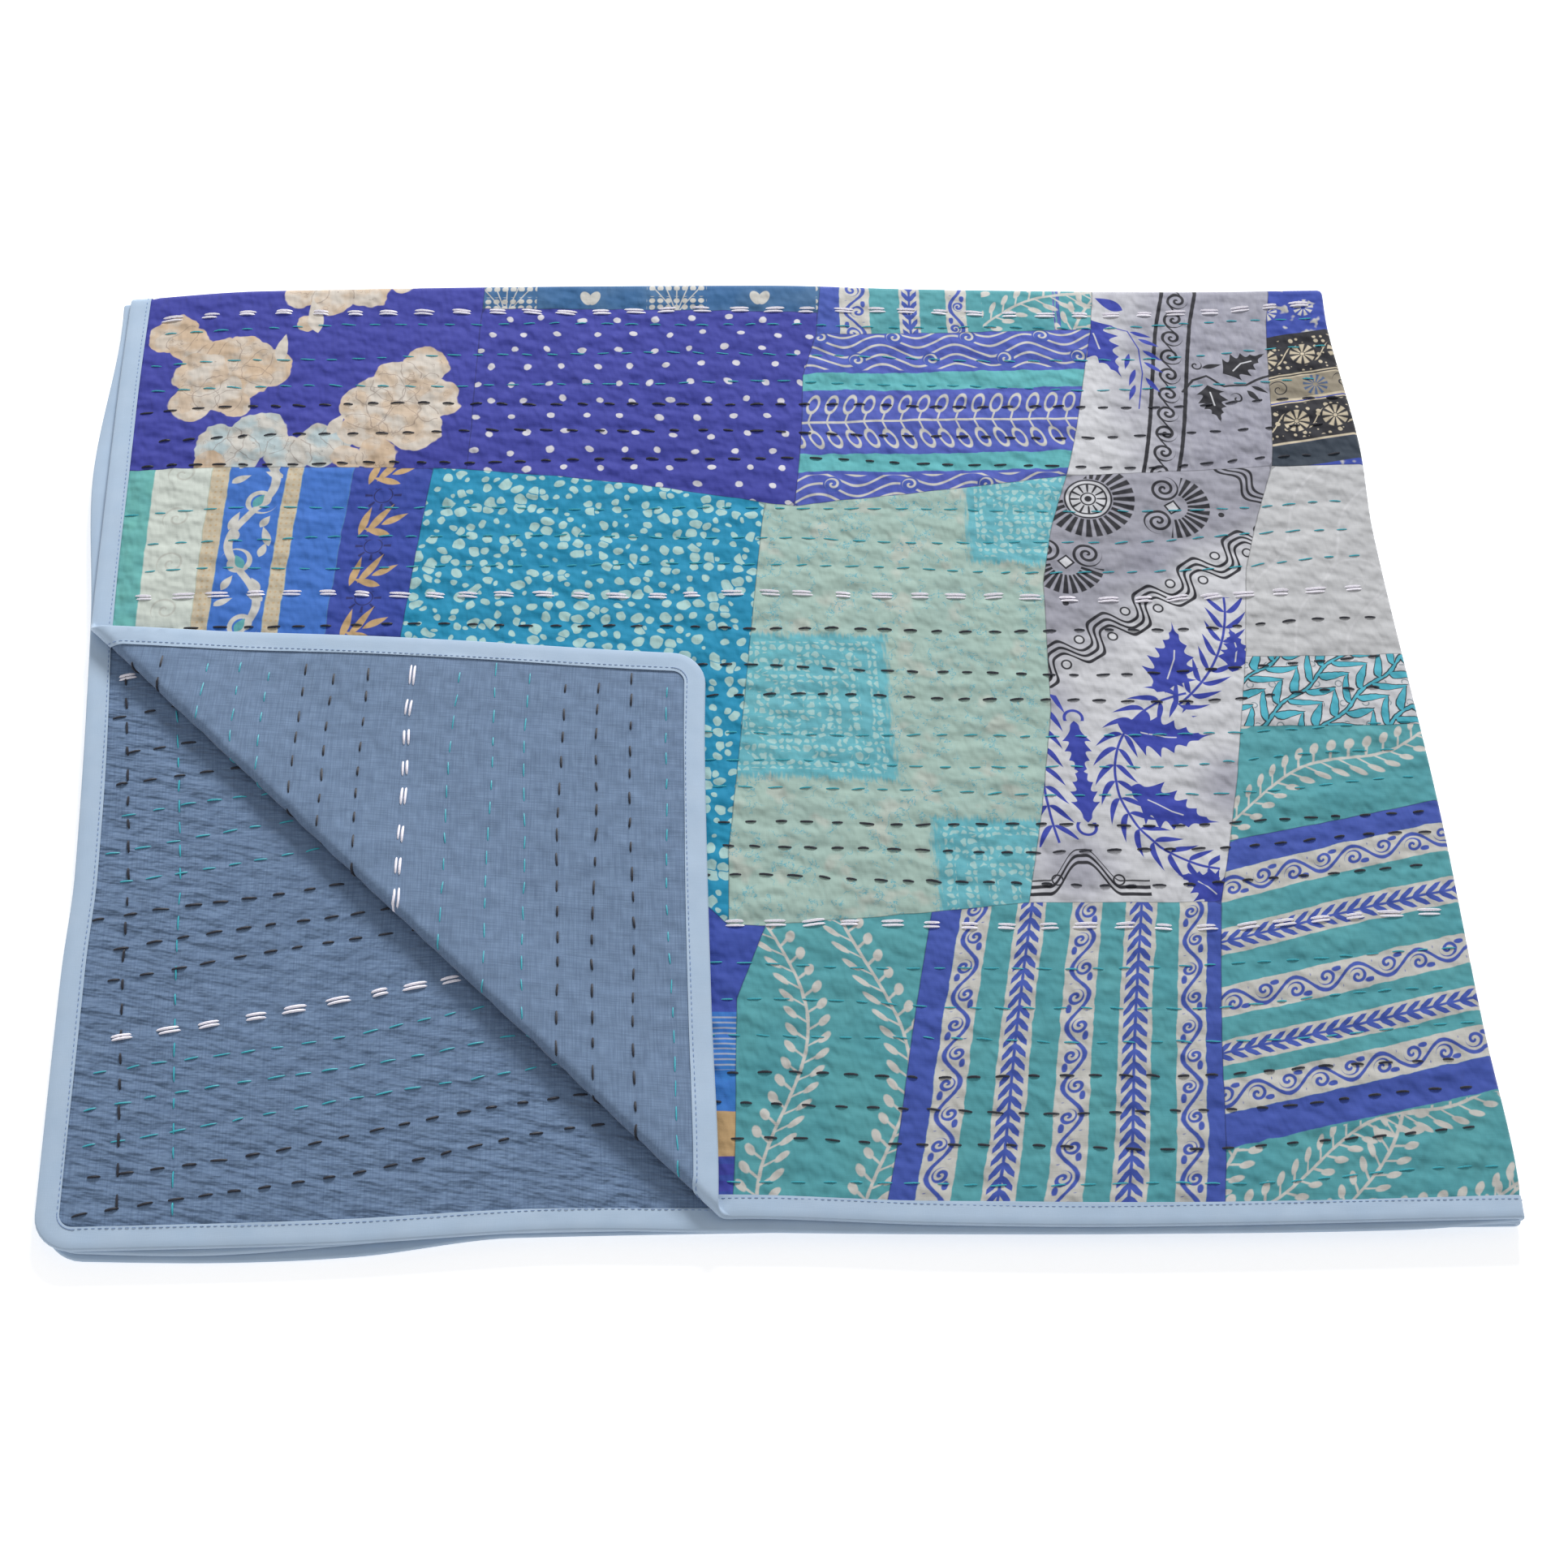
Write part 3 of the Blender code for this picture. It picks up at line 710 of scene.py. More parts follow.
def bindingTape():
    # The tape's closed section, carried round the quilt's outline.
    stations = outlineStations(binding["step"])
    top, bottom = quilt["bindingFaceSide"], -quilt["bindingBackSide"]
    width, edge, thick = binding["width"], binding["edge"], binding["cloth"]
    # Columns: distance in from the edge, height, which side takes the relief.
    section = [(width, top - 0.00010, 1), (width - 0.0009, top, 1)]
    section += [(inset, top, 1) for inset in (binding["stitchInset"], 0.0085, 0.0050, edge / 2)]
    section += [(edge / 3.2, top * 0.88, 0), (edge / 8, top * 0.58, 0), (0.0, 0.0, 0)]
    section += [(edge / 8, bottom * 0.58, 0), (edge / 3.2, bottom * 0.88, 0)]
    section += [(inset, bottom, -1) for inset in (edge / 2, 0.0050, 0.0085, binding["stitchInset"])]
    section += [(width - 0.0009, bottom, -1), (width, bottom + 0.00010, -1)]
    section += [(width, bottom + thick, 0), (edge, bottom + thick, 0), (edge, top - thick, 0)]
    section = np.array([*section, (width, top - thick, 0)])
    count = len(stations)
    bm = bmesh.new()
    bmesh.ops.create_grid(bm, x_segments=count, y_segments=len(section), size=0.5)
    across = [round((vert.co.x + 0.5) * count) % count for vert in bm.verts]
    down = [round((vert.co.y + 0.5) * len(section)) % len(section) for vert in bm.verts]
    rows, shape = stations[across], section[down]
    inset, height, side = shape.T
    inset = inset + 0.0006 * unevenness(rows[:, 4], 0 * inset, 0.21, 2.0) * smooth((inset - 0.003) / 0.006)
    height = height + side * bindingRelief(rows[:, 4], inset, side)
    places = np.column_stack((rows[:, 0] + rows[:, 2] * inset, rows[:, 1] + rows[:, 3] * inset, height))
    for vert, place in zip(bm.verts, places):
        vert.co = place
    bmesh.ops.remove_doubles(bm, verts=bm.verts, dist=1e-6)
    bendLines(bm)
    keepFlat(bm)
    return bm


def stitchShape(around, lengthwise):
    # One stitch lying along X: a plump thread that dives into the cloth at both ends.
    bm = bmesh.new()
    bmesh.ops.create_uvsphere(bm, u_segments=around, v_segments=lengthwise, radius=1.0,
                              matrix=Matrix.Rotation(math.pi / 2, 4, "Y"))
    points = np.array([vert.co[:] for vert in bm.verts])
    faces = [[vert.index for vert in face.verts] for face in bm.faces]
    bm.free()
    ring = np.hypot(points[:, 1], points[:, 2])
    fuller = np.where(ring > 1e-6, ring ** 0.45 / np.maximum(ring, 1e-6), 0)
    points[:, 1:] *= fuller[:, None]
    return points, faces


def stitches(name, rows, height, material, around=5, lengthwise=5):
    # rows: columns u, v, way u, way v, length, radius, side (1 patchwork, -1 backing), arch.
    shape, faces = stitchShape(around, lengthwise)
    columns = np.array(rows).T[:, :, None]
    placeU, placeV, wayU, wayV, long, radius, side, arch = columns
    x, y, z = shape.T[:, None, :]
    reach = x * long / 2
    across = y * radius
    u = placeU + wayU * reach - wayV * across
    v = placeV + wayV * reach + wayU * across
    h = height(u, v) + radius * (0.55 + arch - 1.1 * np.abs(x) ** 3) + z * radius * 0.9
    h = h * side
    points = settled(folded(u.ravel(), v.ravel(), h.ravel()), u.ravel(), v.ravel())
    sizes = [len(face) for face in faces]
    loops = np.concatenate(faces)
    count = len(rows)
    copies = np.arange(count)[:, None]
    allLoops = (loops + copies * len(shape)).ravel()
    mesh = bpy.data.meshes.new(name)
    starts = np.concatenate(((0,), np.cumsum(sizes)[:-1]))
    mesh.vertices.add(len(points))
    mesh.vertices.foreach_set("co", points.ravel())
    mesh.loops.add(len(allLoops))
    mesh.loops.foreach_set("vertex_index", allLoops)
    mesh.polygons.add(len(sizes) * count)
    mesh.polygons.foreach_set("loop_start", (starts + copies * len(loops)).ravel())
    mesh.update(calc_edges=True)
    bm = bmesh.new()
    bm.from_mesh(mesh)
    bpy.data.meshes.remove(mesh)
    return finishPiece(name, bm, [material])


def runRow(found, random, thread, start, way, length, side, keep):
    # Running stitches of one row. found collects them by thread.
    make = threads[thread]
    gone = random.uniform(0, make["pitch"])
    while gone < length:
        long = make["length"] * random.uniform(0.78, 1.18)
        u, v = start(gone)
        turn = random.normal(0, 0.05)
        wayU = way(gone)[0] - way(gone)[1] * turn
        wayV = way(gone)[1] + way(gone)[0] * turn
        if keep(u, v):
            for strand in range(make["strands"]):
                off = (strand - (make["strands"] - 1) / 2) * make["apart"] * random.uniform(0.85, 1.25)
                shift = random.normal(0, 0.0005) * (make["strands"] - 1)
                found[thread].append((
                    u - wayV * off + wayU * shift, v + wayU * off + wayV * shift, wayU, wayV,
                    long * random.uniform(0.92, 1.05), make["radius"] * random.uniform(0.9, 1.1), side,
                    sewing["faceArch"] if side > 0 else sewing["backArch"],
                ))
        gone += make["pitch"] * random.uniform(0.88, 1.12)


sewing = {
    "firstPlace": 0.016, "faceLength": 0.738, "backLength": 0.360, "crossLength": 0.340, "crossSlant": 0.06,
    "faceArch": 0.30, "backArch": 0.48, "past": 0.012, "before": 0.001, "hidden": 0.02,
}


def course(place, mirrored):
    # Where a row's stitches lie and which way they run. place gives the row's distance from the front edge.
    def start(gone):
        x = sewing["firstPlace"] + gone
        return quilt["width"] - x if mirrored else x, float(place(x))

    def way(gone):
        x = sewing["firstPlace"] + gone
        run, rise = 0.01, float(place(x + 0.005) - place(x - 0.005))
        long = math.hypot(run, rise)
        return (-run if mirrored else run) / long, rise / long

    return start, way


def pastCrease(u, v):
    return u * creaseOutward[0] + v * creaseOutward[1] + creaseDistance


def allStitches():
    random = np.random.default_rng(7)
    found = {"teal": [], "black": [], "white": []}
    backs = {"teal": [], "black": [], "white": []}
    width, slant = quilt["width"], sewing["crossSlant"]

    def inSight(u, v):
        return pastCrease(width - u, v) > -sewing["hidden"]

    for row, (_, thread) in enumerate(topRows):
        start, way = course(lambda x, row=row: topRowPlace(row, x), False)
        runRow(found, random, thread, start, way, sewing["faceLength"], 1,
               lambda u, v: pastCrease(u, v) < sewing["past"])
        runRow(backs, random, thread, start, way, sewing["backLength"], -1,
               lambda u, v: pastCrease(u, v) > sewing["before"])
    for row, (_, thread) in enumerate(slateRows):
        start, way = course(lambda x, row=row: slateRowPlace(row, x), True)
        runRow(backs, random, thread, start, way, sewing["backLength"], -1, inSight)
    for place, thread in slateCross:
        def start(gone, place=place):
            return width - place + slant * (gone - 0.024), sewing["firstPlace"] + gone

        runRow(backs, random, thread, start, lambda gone: (slant, 0.998), sewing["crossLength"], -1, inSight)
    return found, backs


def bindingStitchRows():
    # The machine stitching along the tape, on both sides of the quilt.
    stations = outlineStations(binding["stitchPitch"])
    rows = []
    for x, y, inX, inY, gone in stations:
        for side, drift in ((1, 0.0), (-1, 0.0004)):
            inset = binding["stitchInset"] + drift + 0.0003 * math.sin(gone * 23)
            rows.append((x + inX * inset, y + inY * inset, -inY, inX,
                         binding["stitchLength"], binding["stitchRadius"], side, 0.2))
    return rows


def bindingHeight(u, v):
    # The same all along the tape, a little under its top.
    return np.full(np.shape(u), quilt["bindingFaceSide"] - 0.00012)


# Numbers and colours that a material works out at each point of the cloth
class Field:
    def __init__(self, socket):
        self.socket = socket

    def __add__(self, other):
        return maths("ADD", self, other)

    __radd__ = __add__

    def __sub__(self, other):
        return maths("SUBTRACT", self, other)

    def __rsub__(self, other):
        return maths("SUBTRACT", other, self)

    def __mul__(self, other):
        return maths("MULTIPLY", self, other)

    __rmul__ = __mul__

    def __truediv__(self, other):
        return maths("DIVIDE", self, other)


# The material whose nodes are being laid out
desk = {"tree": None}


def addNode(kind, **settings):
    made = desk["tree"].nodes.new(kind)
    for name, value in settings.items():
        setattr(made, name, value)
    return made


def feed(socket, value):
    if isinstance(value, Field):
        desk["tree"].links.new(value.socket, socket)
    else:
        socket.default_value = value


def maths(kind, *values):
    # One sum on numbers, by its kind.
    made = addNode("ShaderNodeMath", operation=kind)
    for socket, value in zip(made.inputs, values):
        feed(socket, value)
    return Field(made.outputs[0])


def vectorMaths(kind, *values, scale=None):
    made = addNode("ShaderNodeVectorMath", operation=kind)
    for socket, value in zip(made.inputs, values):
        feed(socket, value)
    if scale is not None:
        feed(made.inputs["Scale"], scale)
    return Field(made.outputs["Value" if kind in ("LENGTH", "DISTANCE", "DOT_PRODUCT") else "Vector"])


def parts(vector):
    # The X and the Y of a vector.
    made = addNode("ShaderNodeSeparateXYZ")
    feed(made.inputs[0], vector)
    return Field(made.outputs[0]), Field(made.outputs[1])


def point(x, y):
    made = addNode("ShaderNodeCombineXYZ")
    feed(made.inputs[0], x)
    feed(made.inputs[1], y)
    return Field(made.outputs[0])


def lengthOf(x, y):
    return vectorMaths("LENGTH", point(x, y))


def larger(first, *others):
    for other in others:
        first = maths("MAXIMUM", first, other)
    return first


def smaller(first, *others):
    for other in others:
        first = maths("MINIMUM", first, other)
    return first


def size(value):
    return maths("ABSOLUTE", value)


def wrap(value, pitch):
    # The distance from the middle of each repeat.
    return maths("WRAP", value, pitch / 2, -pitch / 2)


def sine(value):
    return maths("SINE", value)


def ink(field, soft=0.35):
    # 1 inside a shape, 0 outside it. The field is positive inside, in millimetres.
    made = addNode("ShaderNodeMapRange", interpolation_type="SMOOTHSTEP")
    feed(made.inputs["Value"], field)
    made.inputs["From Min"].default_value = -soft
    made.inputs["From Max"].default_value = soft
    return Field(made.outputs[0])


def between(value, low, high):
    # Positive between two places.
    return (high - low) / 2 - size(value - (low + high) / 2)


def noise(vector, pitch, detail=2.0, roughness=0.5):
    made = addNode("ShaderNodeTexNoise", noise_dimensions="2D")
    feed(made.inputs["Vector"], vector)
    made.inputs["Scale"].default_value = 1 / pitch
    made.inputs["Detail"].default_value = detail
    made.inputs["Roughness"].default_value = roughness
    return Field(made.outputs[0])


def waver(vector, pitch, amount, detail=2.0):
    # Noise to both sides of zero, half the amount at most.
    return (noise(vector, pitch, detail) - 0.5) * amount


def colour(red, green, blue):
    # A shader's colour from a picture's red, green and blue.
    shares = [c / 255 for c in (red, green, blue)]
    return (*[c / 12.92 if c < 0.04 else ((c + 0.055) / 1.055) ** 2.4 for c in shares], 1.0)


def over(base, share, top):
    # One colour over another. Inputs 6 and 7 are the two colours of a colour mix.
    made = addNode("ShaderNodeMix", data_type="RGBA")
    feed(made.inputs[0], share)
    feed(made.inputs[6], base)
    feed(made.inputs[7], top)
    return Field(made.outputs[2])


def printed(cloth, dye, shape, soft=0.35):
    # The cloth with a shape printed on it in one dye.
    return over(cloth, ink(shape, soft), dyes[dye])


def dyed(p, pitch, first, second):
    # Plain cloth that took its dye unevenly.
    return over(dyes[first], noise(p, pitch), dyes[second])


def placed(vector, at, turn=0.0, spanX=1.0, spanY=1.0):
    # A motif's own coordinates: its middle at a place, turned, and measured in its own spans.
    made = addNode("ShaderNodeMapping", vector_type="TEXTURE")
    feed(made.inputs["Vector"], vector)
    made.inputs["Location"].default_value = (at[0], at[1], 0)
    made.inputs["Rotation"].default_value = (0, 0, math.radians(turn))
    made.inputs["Scale"].default_value = (spanX, spanY, 1)
    return Field(made.outputs[0])


def disc(vector, at, radius):
    return radius - vectorMaths("DISTANCE", vector, (*at, 0))


def line(vector, start, end, width):
    # A straight stroke between two places.
    length = math.dist(start, end)
    turn = math.degrees(math.atan2(end[1] - start[1], end[0] - start[0]))
    x, y = parts(placed(vector, start, turn))
    beyond = x - maths("MINIMUM", maths("MAXIMUM", x, 0.0), length)
    return width / 2 - lengthOf(beyond, y)


def stroke(vector, places, width):
    # A line through several places.
    marks = line(vector, *places[:2], width)
    for start, end in zip(places[1:], places[2:]):
        marks = larger(marks, line(vector, start, end, width))
    return marks


def leafyStem(gone, off, pitch, long, wide):
    # A stem with small curved leaves: gone is the distance along it, and off the distance from it.
    lean = wrap(gone - off * 0.35 - off * off * 0.06, pitch)
    across = (off - long / 2 - 0.2) / (long / 2)
    return larger(0.75 - off, (1 - across * across) * (wide / 2) - size(lean) * 0.85)


def spray(vector, centre, radius, start, end, pitch=11.0):
    # A leafy stem along part of a circle, between two angles.
    x, y = parts(placed(vector, centre, (start + end) / 2))
    gone = maths("ARCTAN2", y, x) * radius
    off = size(lengthOf(x, y) - radius)
    half = math.radians(end - start) / 2 * radius
    return smaller(leafyStem(gone, off, pitch, 12.0, 4.2), half - size(gone))


def ringOf(field, width):
    # The outline of a shape.
    return width / 2 - size(field)


def petals(vector, at, count, inner, outer, width):
    # A ring of petals round a place, between two distances from it.
    local = placed(vector, at)
    x, y = parts(local)
    r = vectorMaths("LENGTH", local)
    swing = maths("COSINE", maths("ARCTAN2", y, x) * count)
    return smaller(between(r, inner, outer), (swing + (width * 2 - 1)) * (inner + outer) / (2 * count))


def spiral(vector, at, radius, pitch, width, turn=0.0):
    # A curl that winds out from a place.
    local = placed(vector, at, turn)
    x, y = parts(local)
    r = vectorMaths("LENGTH", local)
    arm = wrap(r - maths("ARCTAN2", y, x) * (pitch / (2 * math.pi)), pitch)
    return smaller(width / 2 - size(arm), radius - r)


def leaf(vector, at, turn, long, wide, teeth=0, bend=0.0):
    # A pointed leaf with its tip along +X of its own turn. Teeth are points down each side.
    x, y = parts(placed(vector, at, turn, long / 2, wide / 2))
    if bend:
        y = y - x * x * bend
    profile = (1 - x * x) * (0.78 - 0.30 * x)
    if teeth:
        notches = size(sine((x - size(y) * 0.3) * (teeth * math.pi / 2)))
        profile = (1 - x * x) * (0.82 - 0.68 * x) * (1 - notches * 0.45)
    return smaller((profile - size(y)) * wide / 2, (1 - size(x)) * long / 2)


def leaves(vector, rows, teeth=0):
    # Several leaves. Columns: place (u, v), turn, length, width.
    return larger(*[leaf(vector, (u, v), turn, long, wide, teeth) for u, v, turn, long, wide in rows])


def dotCells(vector, pitch, feature):
    made = addNode("ShaderNodeTexVoronoi", voronoi_dimensions="2D", feature=feature)
    feed(made.inputs["Vector"], vector)
    made.inputs["Scale"].default_value = 1 / pitch
    made.inputs["Randomness"].default_value = 0.80
    return made


def sprinkle(vector, pitch, start, end):
    # Round dots of uneven sizes, strewn over the cloth.
    made = dotCells(vector, pitch, "F1")
    cell = addNode("ShaderNodeSeparateColor")
    desk["tree"].links.new(made.outputs["Color"], cell.inputs[0])
    return start + Field(cell.outputs[0]) * (end - start) - Field(made.outputs["Distance"]) * pitch


def pebbles(vector, pitch, start, end):
    # The same dots, kept apart from each other.
    edge = Field(dotCells(vector, pitch, "DISTANCE_TO_EDGE").outputs["Distance"]) * pitch
    return smaller(sprinkle(vector, pitch, start, end), edge - 0.30)


# The dyes, each as it looks in soft daylight
dyes = {name: colour(*shade) for name, shade in {
    "violet": (62, 68, 164), "violetDeep": (50, 56, 150), "dot": (208, 206, 214),
    "blossomCream": (208, 200, 190), "blossomTan": (200, 176, 150), "blossomMist": (178, 194, 198),
    "turquoise": (90, 163, 168), "turquoiseDeep": (70, 148, 160), "cobalt": (62, 84, 170),
    "cream": (196, 195, 190), "ink": (34, 34, 42), "steel": (66, 108, 150),
    "tealBlue": (20, 144, 182), "pebble": (166, 202, 200), "mint": (154, 181, 174),
    "dyeSquare": (82, 166, 184), "grey": (158, 158, 170), "white": (202, 203, 208),
    "royal": (50, 64, 164), "plainBlue": (60, 114, 200), "deepBlue": (48, 70, 162),
    "tan": (190, 158, 114), "pale": (196, 197, 199), "slateDark": (48, 60, 74),
    "sand": (198, 186, 162), "whiteGreen": (204, 212, 204), "leafTurquoise": (74, 172, 192),
}.items()}


def blossomPrint(p):
    x, y = parts(p)
    p = placed(point(wrap(x - 116, 236), wrap(y - 560, 190)), (-116, -560))
    wavy = waver(p, 15, 9)
    groups = (
        ("blossomMist", ((64, 508, 15), (88, 514, 18), (106, 499, 15), (124, 505, 16), (138, 512, 11),
                         (76, 500, 14))),
        ("blossomTan", ((30, 600, 15), (42, 590, 14), (60, 580, 14), (76, 578, 17), (90, 568, 15),
                        (78, 556, 14))),
        ("blossomCream", ((50, 566, 17), (46, 542, 15), (62, 548, 15), (72, 540, 11), (110, 632, 14),
                          (126, 624, 13), (112, 606, 7), (150, 630, 13), (172, 638, 10))),
        ("blossomCream", ((188, 568, 15), (170, 556, 16), (192, 542, 17), (152, 536, 16), (180, 520, 19),
                          (150, 516, 14), (168, 534, 17), (160, 548, 14))),
        ("blossomTan", ((160, 498, 13), (142, 496, 10), (60, 493, 9))),
    )
    cloth = dyed(p, 60, "violet", "violetDeep")
    mottle = noise(p, 17, 3)
    for name, discs in groups:
        petal = [disc(p, (u, v), r) + wavy for u, v, r in discs]
        shape = larger(*petal)
        other = dyes["blossomCream" if name != "blossomCream" else "blossomTan"]
        tone = over(dyes[name], ink(mottle - 0.52, 0.12) * 0.75, other)
        rim = larger(*[smaller(0.28 - size(one), shape - 2.5) for one in petal])
        rim = larger(rim, smaller(0.22 - size(wrap(mottle * 60 + wavy, 17)), shape - 4))
        tone = over(tone, ink(4.0 - shape, 3.5) * 0.22, dyes["blossomTan"])
        cloth = over(cloth, ink(shape, 0.5), over(tone, ink(rim, 0.2) * 0.5, colour(126, 108, 102)))
    leafTips = leaves(p, ((98, 584, 80, 24, 9), (117, 611, 100, 30, 12), (134, 522, 60, 18, 9)))
    return printed(cloth, "blossomCream", leafTips + wavy * 0.3, 0.4)


def spotsPrint(p):
    drift = point(noise(p, 60) * 16, noise(placed(p, (200, 90)), 50) * 12)
    x, y = parts(vectorMaths("ADD", p, drift))
    first = lengthOf(wrap(x, 22.6), wrap(y, 26.6) * 1.1)
    second = lengthOf(wrap(x - 8.5, 22.6), wrap(y - 13.3, 26.6) * 1.1)
    dots = 2.35 - smaller(first, second) + waver(p, 3, 0.9)
    cloth = dyed(p, 80, "violet", "violetDeep")
    return printed(cloth, "dot", dots, 0.4)


def steelPrint(p):
    x, y = parts(p)
    cloth = over(dyes["steel"], ink(noise(p, 34) - 0.5, 0.2), colour(44, 96, 146))
    local = point(wrap(x - 345, 108), y - 616)
    twigs = ((-15, 15), (-8, 18), (0, 20), (8, 18), (15, 15))
    bush = larger(*[line(local, (0, -6), tip, 0.7) for tip in twigs])
    berries = smaller(1.9 - lengthOf(wrap(x - 345, 5.2), wrap(y, 5.0)),
                      19 - size(parts(local)[0]), size(parts(local)[1] - 10) - 2.5, parts(local)[1] + 4)
    across = size(wrap(x - 290, 108))
    heart = 3.8 - lengthOf(across - 2.6, (wrap(y - 621, 60) - across * 0.5) * 0.75)
    return printed(cloth, "cream", larger(bush, berries, heart))


def scrollBand(s, t, wide):
    # A cobalt running scroll along a cream band: t is measured from the band's middle.
    period = 35
    turn = sine(s * (2 * math.pi / period))
    side = maths("SIGN", turn)
    stem = 1.0 - size(t - turn * (wide * 0.30)) * 0.8
    local = point(wrap(s - period / 4, period / 2), t * side + wide * 0.10)
    curl = spiral(local, (0, 0), wide * 0.26, wide * 0.21, 1.9)
    local = point(wrap(s - period / 4 - 6.4, period / 2), t * side + wide * 0.28)
    drop = 1.5 - lengthOf(parts(local)[0] * 0.55, parts(local)[1])
    return larger(stem, curl, drop)


def leafBand(s, t, wide):
    # Pairs of small cobalt leaves up a stalk.
    slant = wrap(s - size(t) * 1.15, 7.6)
    reach = wide * 0.37 - size(t)
    plump = 2.6 - size(t - maths("SIGN", t) * (wide * 0.17)) * 0.33
    return larger(smaller(plump - size(slant), reach), 0.8 - size(t))


def stripes(p, s, t, edges):
    # Cobalt, scroll, turquoise, leaf and turquoise bands in turn, between the given places across.
    order = ("cobalt", *("scroll", "turquoise", "leaf", "turquoise") * 2, "scroll", "cobalt")
    shaky = t + waver(p, 12, 2.2, 3)
    cloth = dyed(p, 40, "turquoise", "turquoiseDeep")
    for kind, low, high in zip(order, edges, edges[1:]):
        band = ink(between(shaky, low, high))
        if kind == "cobalt":
            cloth = over(cloth, band, dyes["cobalt"])
        if kind in ("scroll", "leaf"):
            cloth = over(cloth, band, dyes["cream"])
            middle, wide = t - (low + high) / 2, high - low
            motif = scrollBand(s + low * 3, middle, wide) if kind == "scroll" else leafBand(s, middle, wide)
            cloth = over(cloth, ink(motif + waver(p, 4, 0.5)) * band, dyes["cobalt"])
    return cloth


def stripesPrint(p):
    x, y = parts(p)
    left = 470 - (181 - y) * 0.253
    right = 628 - (181 - y) * 0.139
    t = (x - left) / (right - left) * 158
    return stripes(p, y * -1 + t * 0.2, t, (-60, 16, 32, 46, 62, 76, 93, 106, 123, 136, 151, 240))


def fanPrint(p):
    x, y = parts(p)
    cloth = stripes(p, y, x - 446, (-60, 3, 22, 41, 54, 71, 84, 140, 141, 142, 143, 144))
    return budBranches(p, cloth, ((0, -8), (2, 12)), ink(x - 540))


def slantPrint(p):
    x, y = parts(p)
    upper = 228 + (x - 642) * 0.235 + waver(p, 120, 8)
    lower = 41 + (x - 605) * 0.205
    t = (upper - y) / (upper - lower) * 187
    edges = (0, 18, 37, 54, 71, 91, 110, 124, 139, 148, 167, 187)
    cloth = stripes(p, x, t, edges)
    return budBranches(p, cloth, ((0, 0), (2, 0)), ink(t - 188))


def budStem(bend, pitch=10.0):
    # A branch along a soft curve, with round buds on short twigs at both sides.
    s, t = bend
    ahead = s + maths("SIGN", t) * (pitch * 0.2)
    lean = wrap(ahead - size(t) * 0.75, pitch)
    twig = smaller(0.60 - size(lean) * 0.8, 8.0 - size(t))
    bud = 2.35 - lengthOf(lean * 0.86, (size(t) - 8.2) * 0.78)
    return larger(0.85 - size(t), twig, bud)


def budBranches(p, cloth, ways, within=None):
    x, y = parts(p)
    for kind, start in ways:
        if kind == 0:
            bend = (x * 0.90 + y * 0.44, wrap(y * 0.90 - x * 0.44 + sine(x / 19) * 7 - start, 52))
        elif kind == 1:
            bend = (y, (x - start - sine((y + start * 0.4) / 34) * 17) * 0.92)
        else:
            bend = (x * 0.60 + y * 0.80, wrap(y * 0.60 - x * 0.80 + sine(y / 21) * 6 - start, 66))
        motif = ink(budStem(bend) + waver(p, 5, 0.7))
        if within is not None:
            motif = motif * within
        cloth = over(cloth, motif, dyes["cream"])
    return cloth


def branchPrint(p):
    cloth = dyed(p, 45, "turquoise", "turquoiseDeep")
    return budBranches(p, cloth, ((1, 381), (1, 433)))


def bluePrint(p):
    # A narrow pieced strip: blue with pale threads, and tan at its foot.
    y = parts(p)[1]
    cloth = dyed(p, 20, "deepBlue", "cobalt")
    blue = over(dyes["plainBlue"], noise(p, 12), colour(40, 120, 190))
    cloth = over(cloth, ink(between(y, 60, 118), 0.4), blue)
    cloth = over(cloth, ink(smaller(0.5 - size(wrap(y, 3.1)), between(y, 84, 116)), 0.3) * 0.6, dyes["cream"])
    cloth = printed(cloth, "tan", between(y, 34, 60), 0.4)
    return printed(cloth, "violet", smaller(3 - size(wrap(y, 9)), 34 - y), 0.4)


def budsPrint(p):
    cloth = dyed(p, 45, "turquoise", "turquoiseDeep")
    return budBranches(p, cloth, ((0, -62),))


def wavesPrint(p):
    x, y = parts(p)
    level = y - (x - 420) * 0.045 + waver(p, 30, 3)
    cell = wrap(level - 522, 116)
    cloth = over(dyes["cobalt"], noise(p, 40), colour(82, 92, 184))
    turquoise = between(size(cell), 25, 38.5) + waver(p, 9, 2)
    cloth = over(cloth, ink(turquoise), over(colour(100, 182, 186), noise(p, 30), colour(84, 168, 176)))
    swing = sine(x * (2 * math.pi / 47) + 1.2)
    crest = cell - maths("SIGN", cell) * 58
    running = wrap(crest - swing * 4.6 + 2, 7.6)
    lines = smaller(0.85 - size(running), size(cell) - 41)
    hooks = [point(wrap(x - 12, 47), crest - 9), point(wrap(x - 34, 47), crest + 9)]
    hook = larger(*[spiral(place, (0, 0), 4.6, 4.2, 1.5, 90) for place in hooks])
    cloth = printed(cloth, "cream", lines)
    cloth = printed(cloth, "cobalt", 5.8 - smaller(*[vectorMaths("LENGTH", place) for place in hooks]))
    cloth = printed(cloth, "cream", hook)
    loops = wrap(x + size(cell) * -0.35, 11.4)
    drop = 1 - lengthOf(loops / 3.3, (size(cell) - 13.5) / 6.2)
    stalk = smaller(0.6 - size(loops - 0.4), 8.5 - size(cell))
    vine = larger(ringOf(drop * 3.3, 1.35), stalk, 0.85 - size(cell))
    return printed(cloth, "cream", smaller(vine, 24 - size(cell)), 0.3)


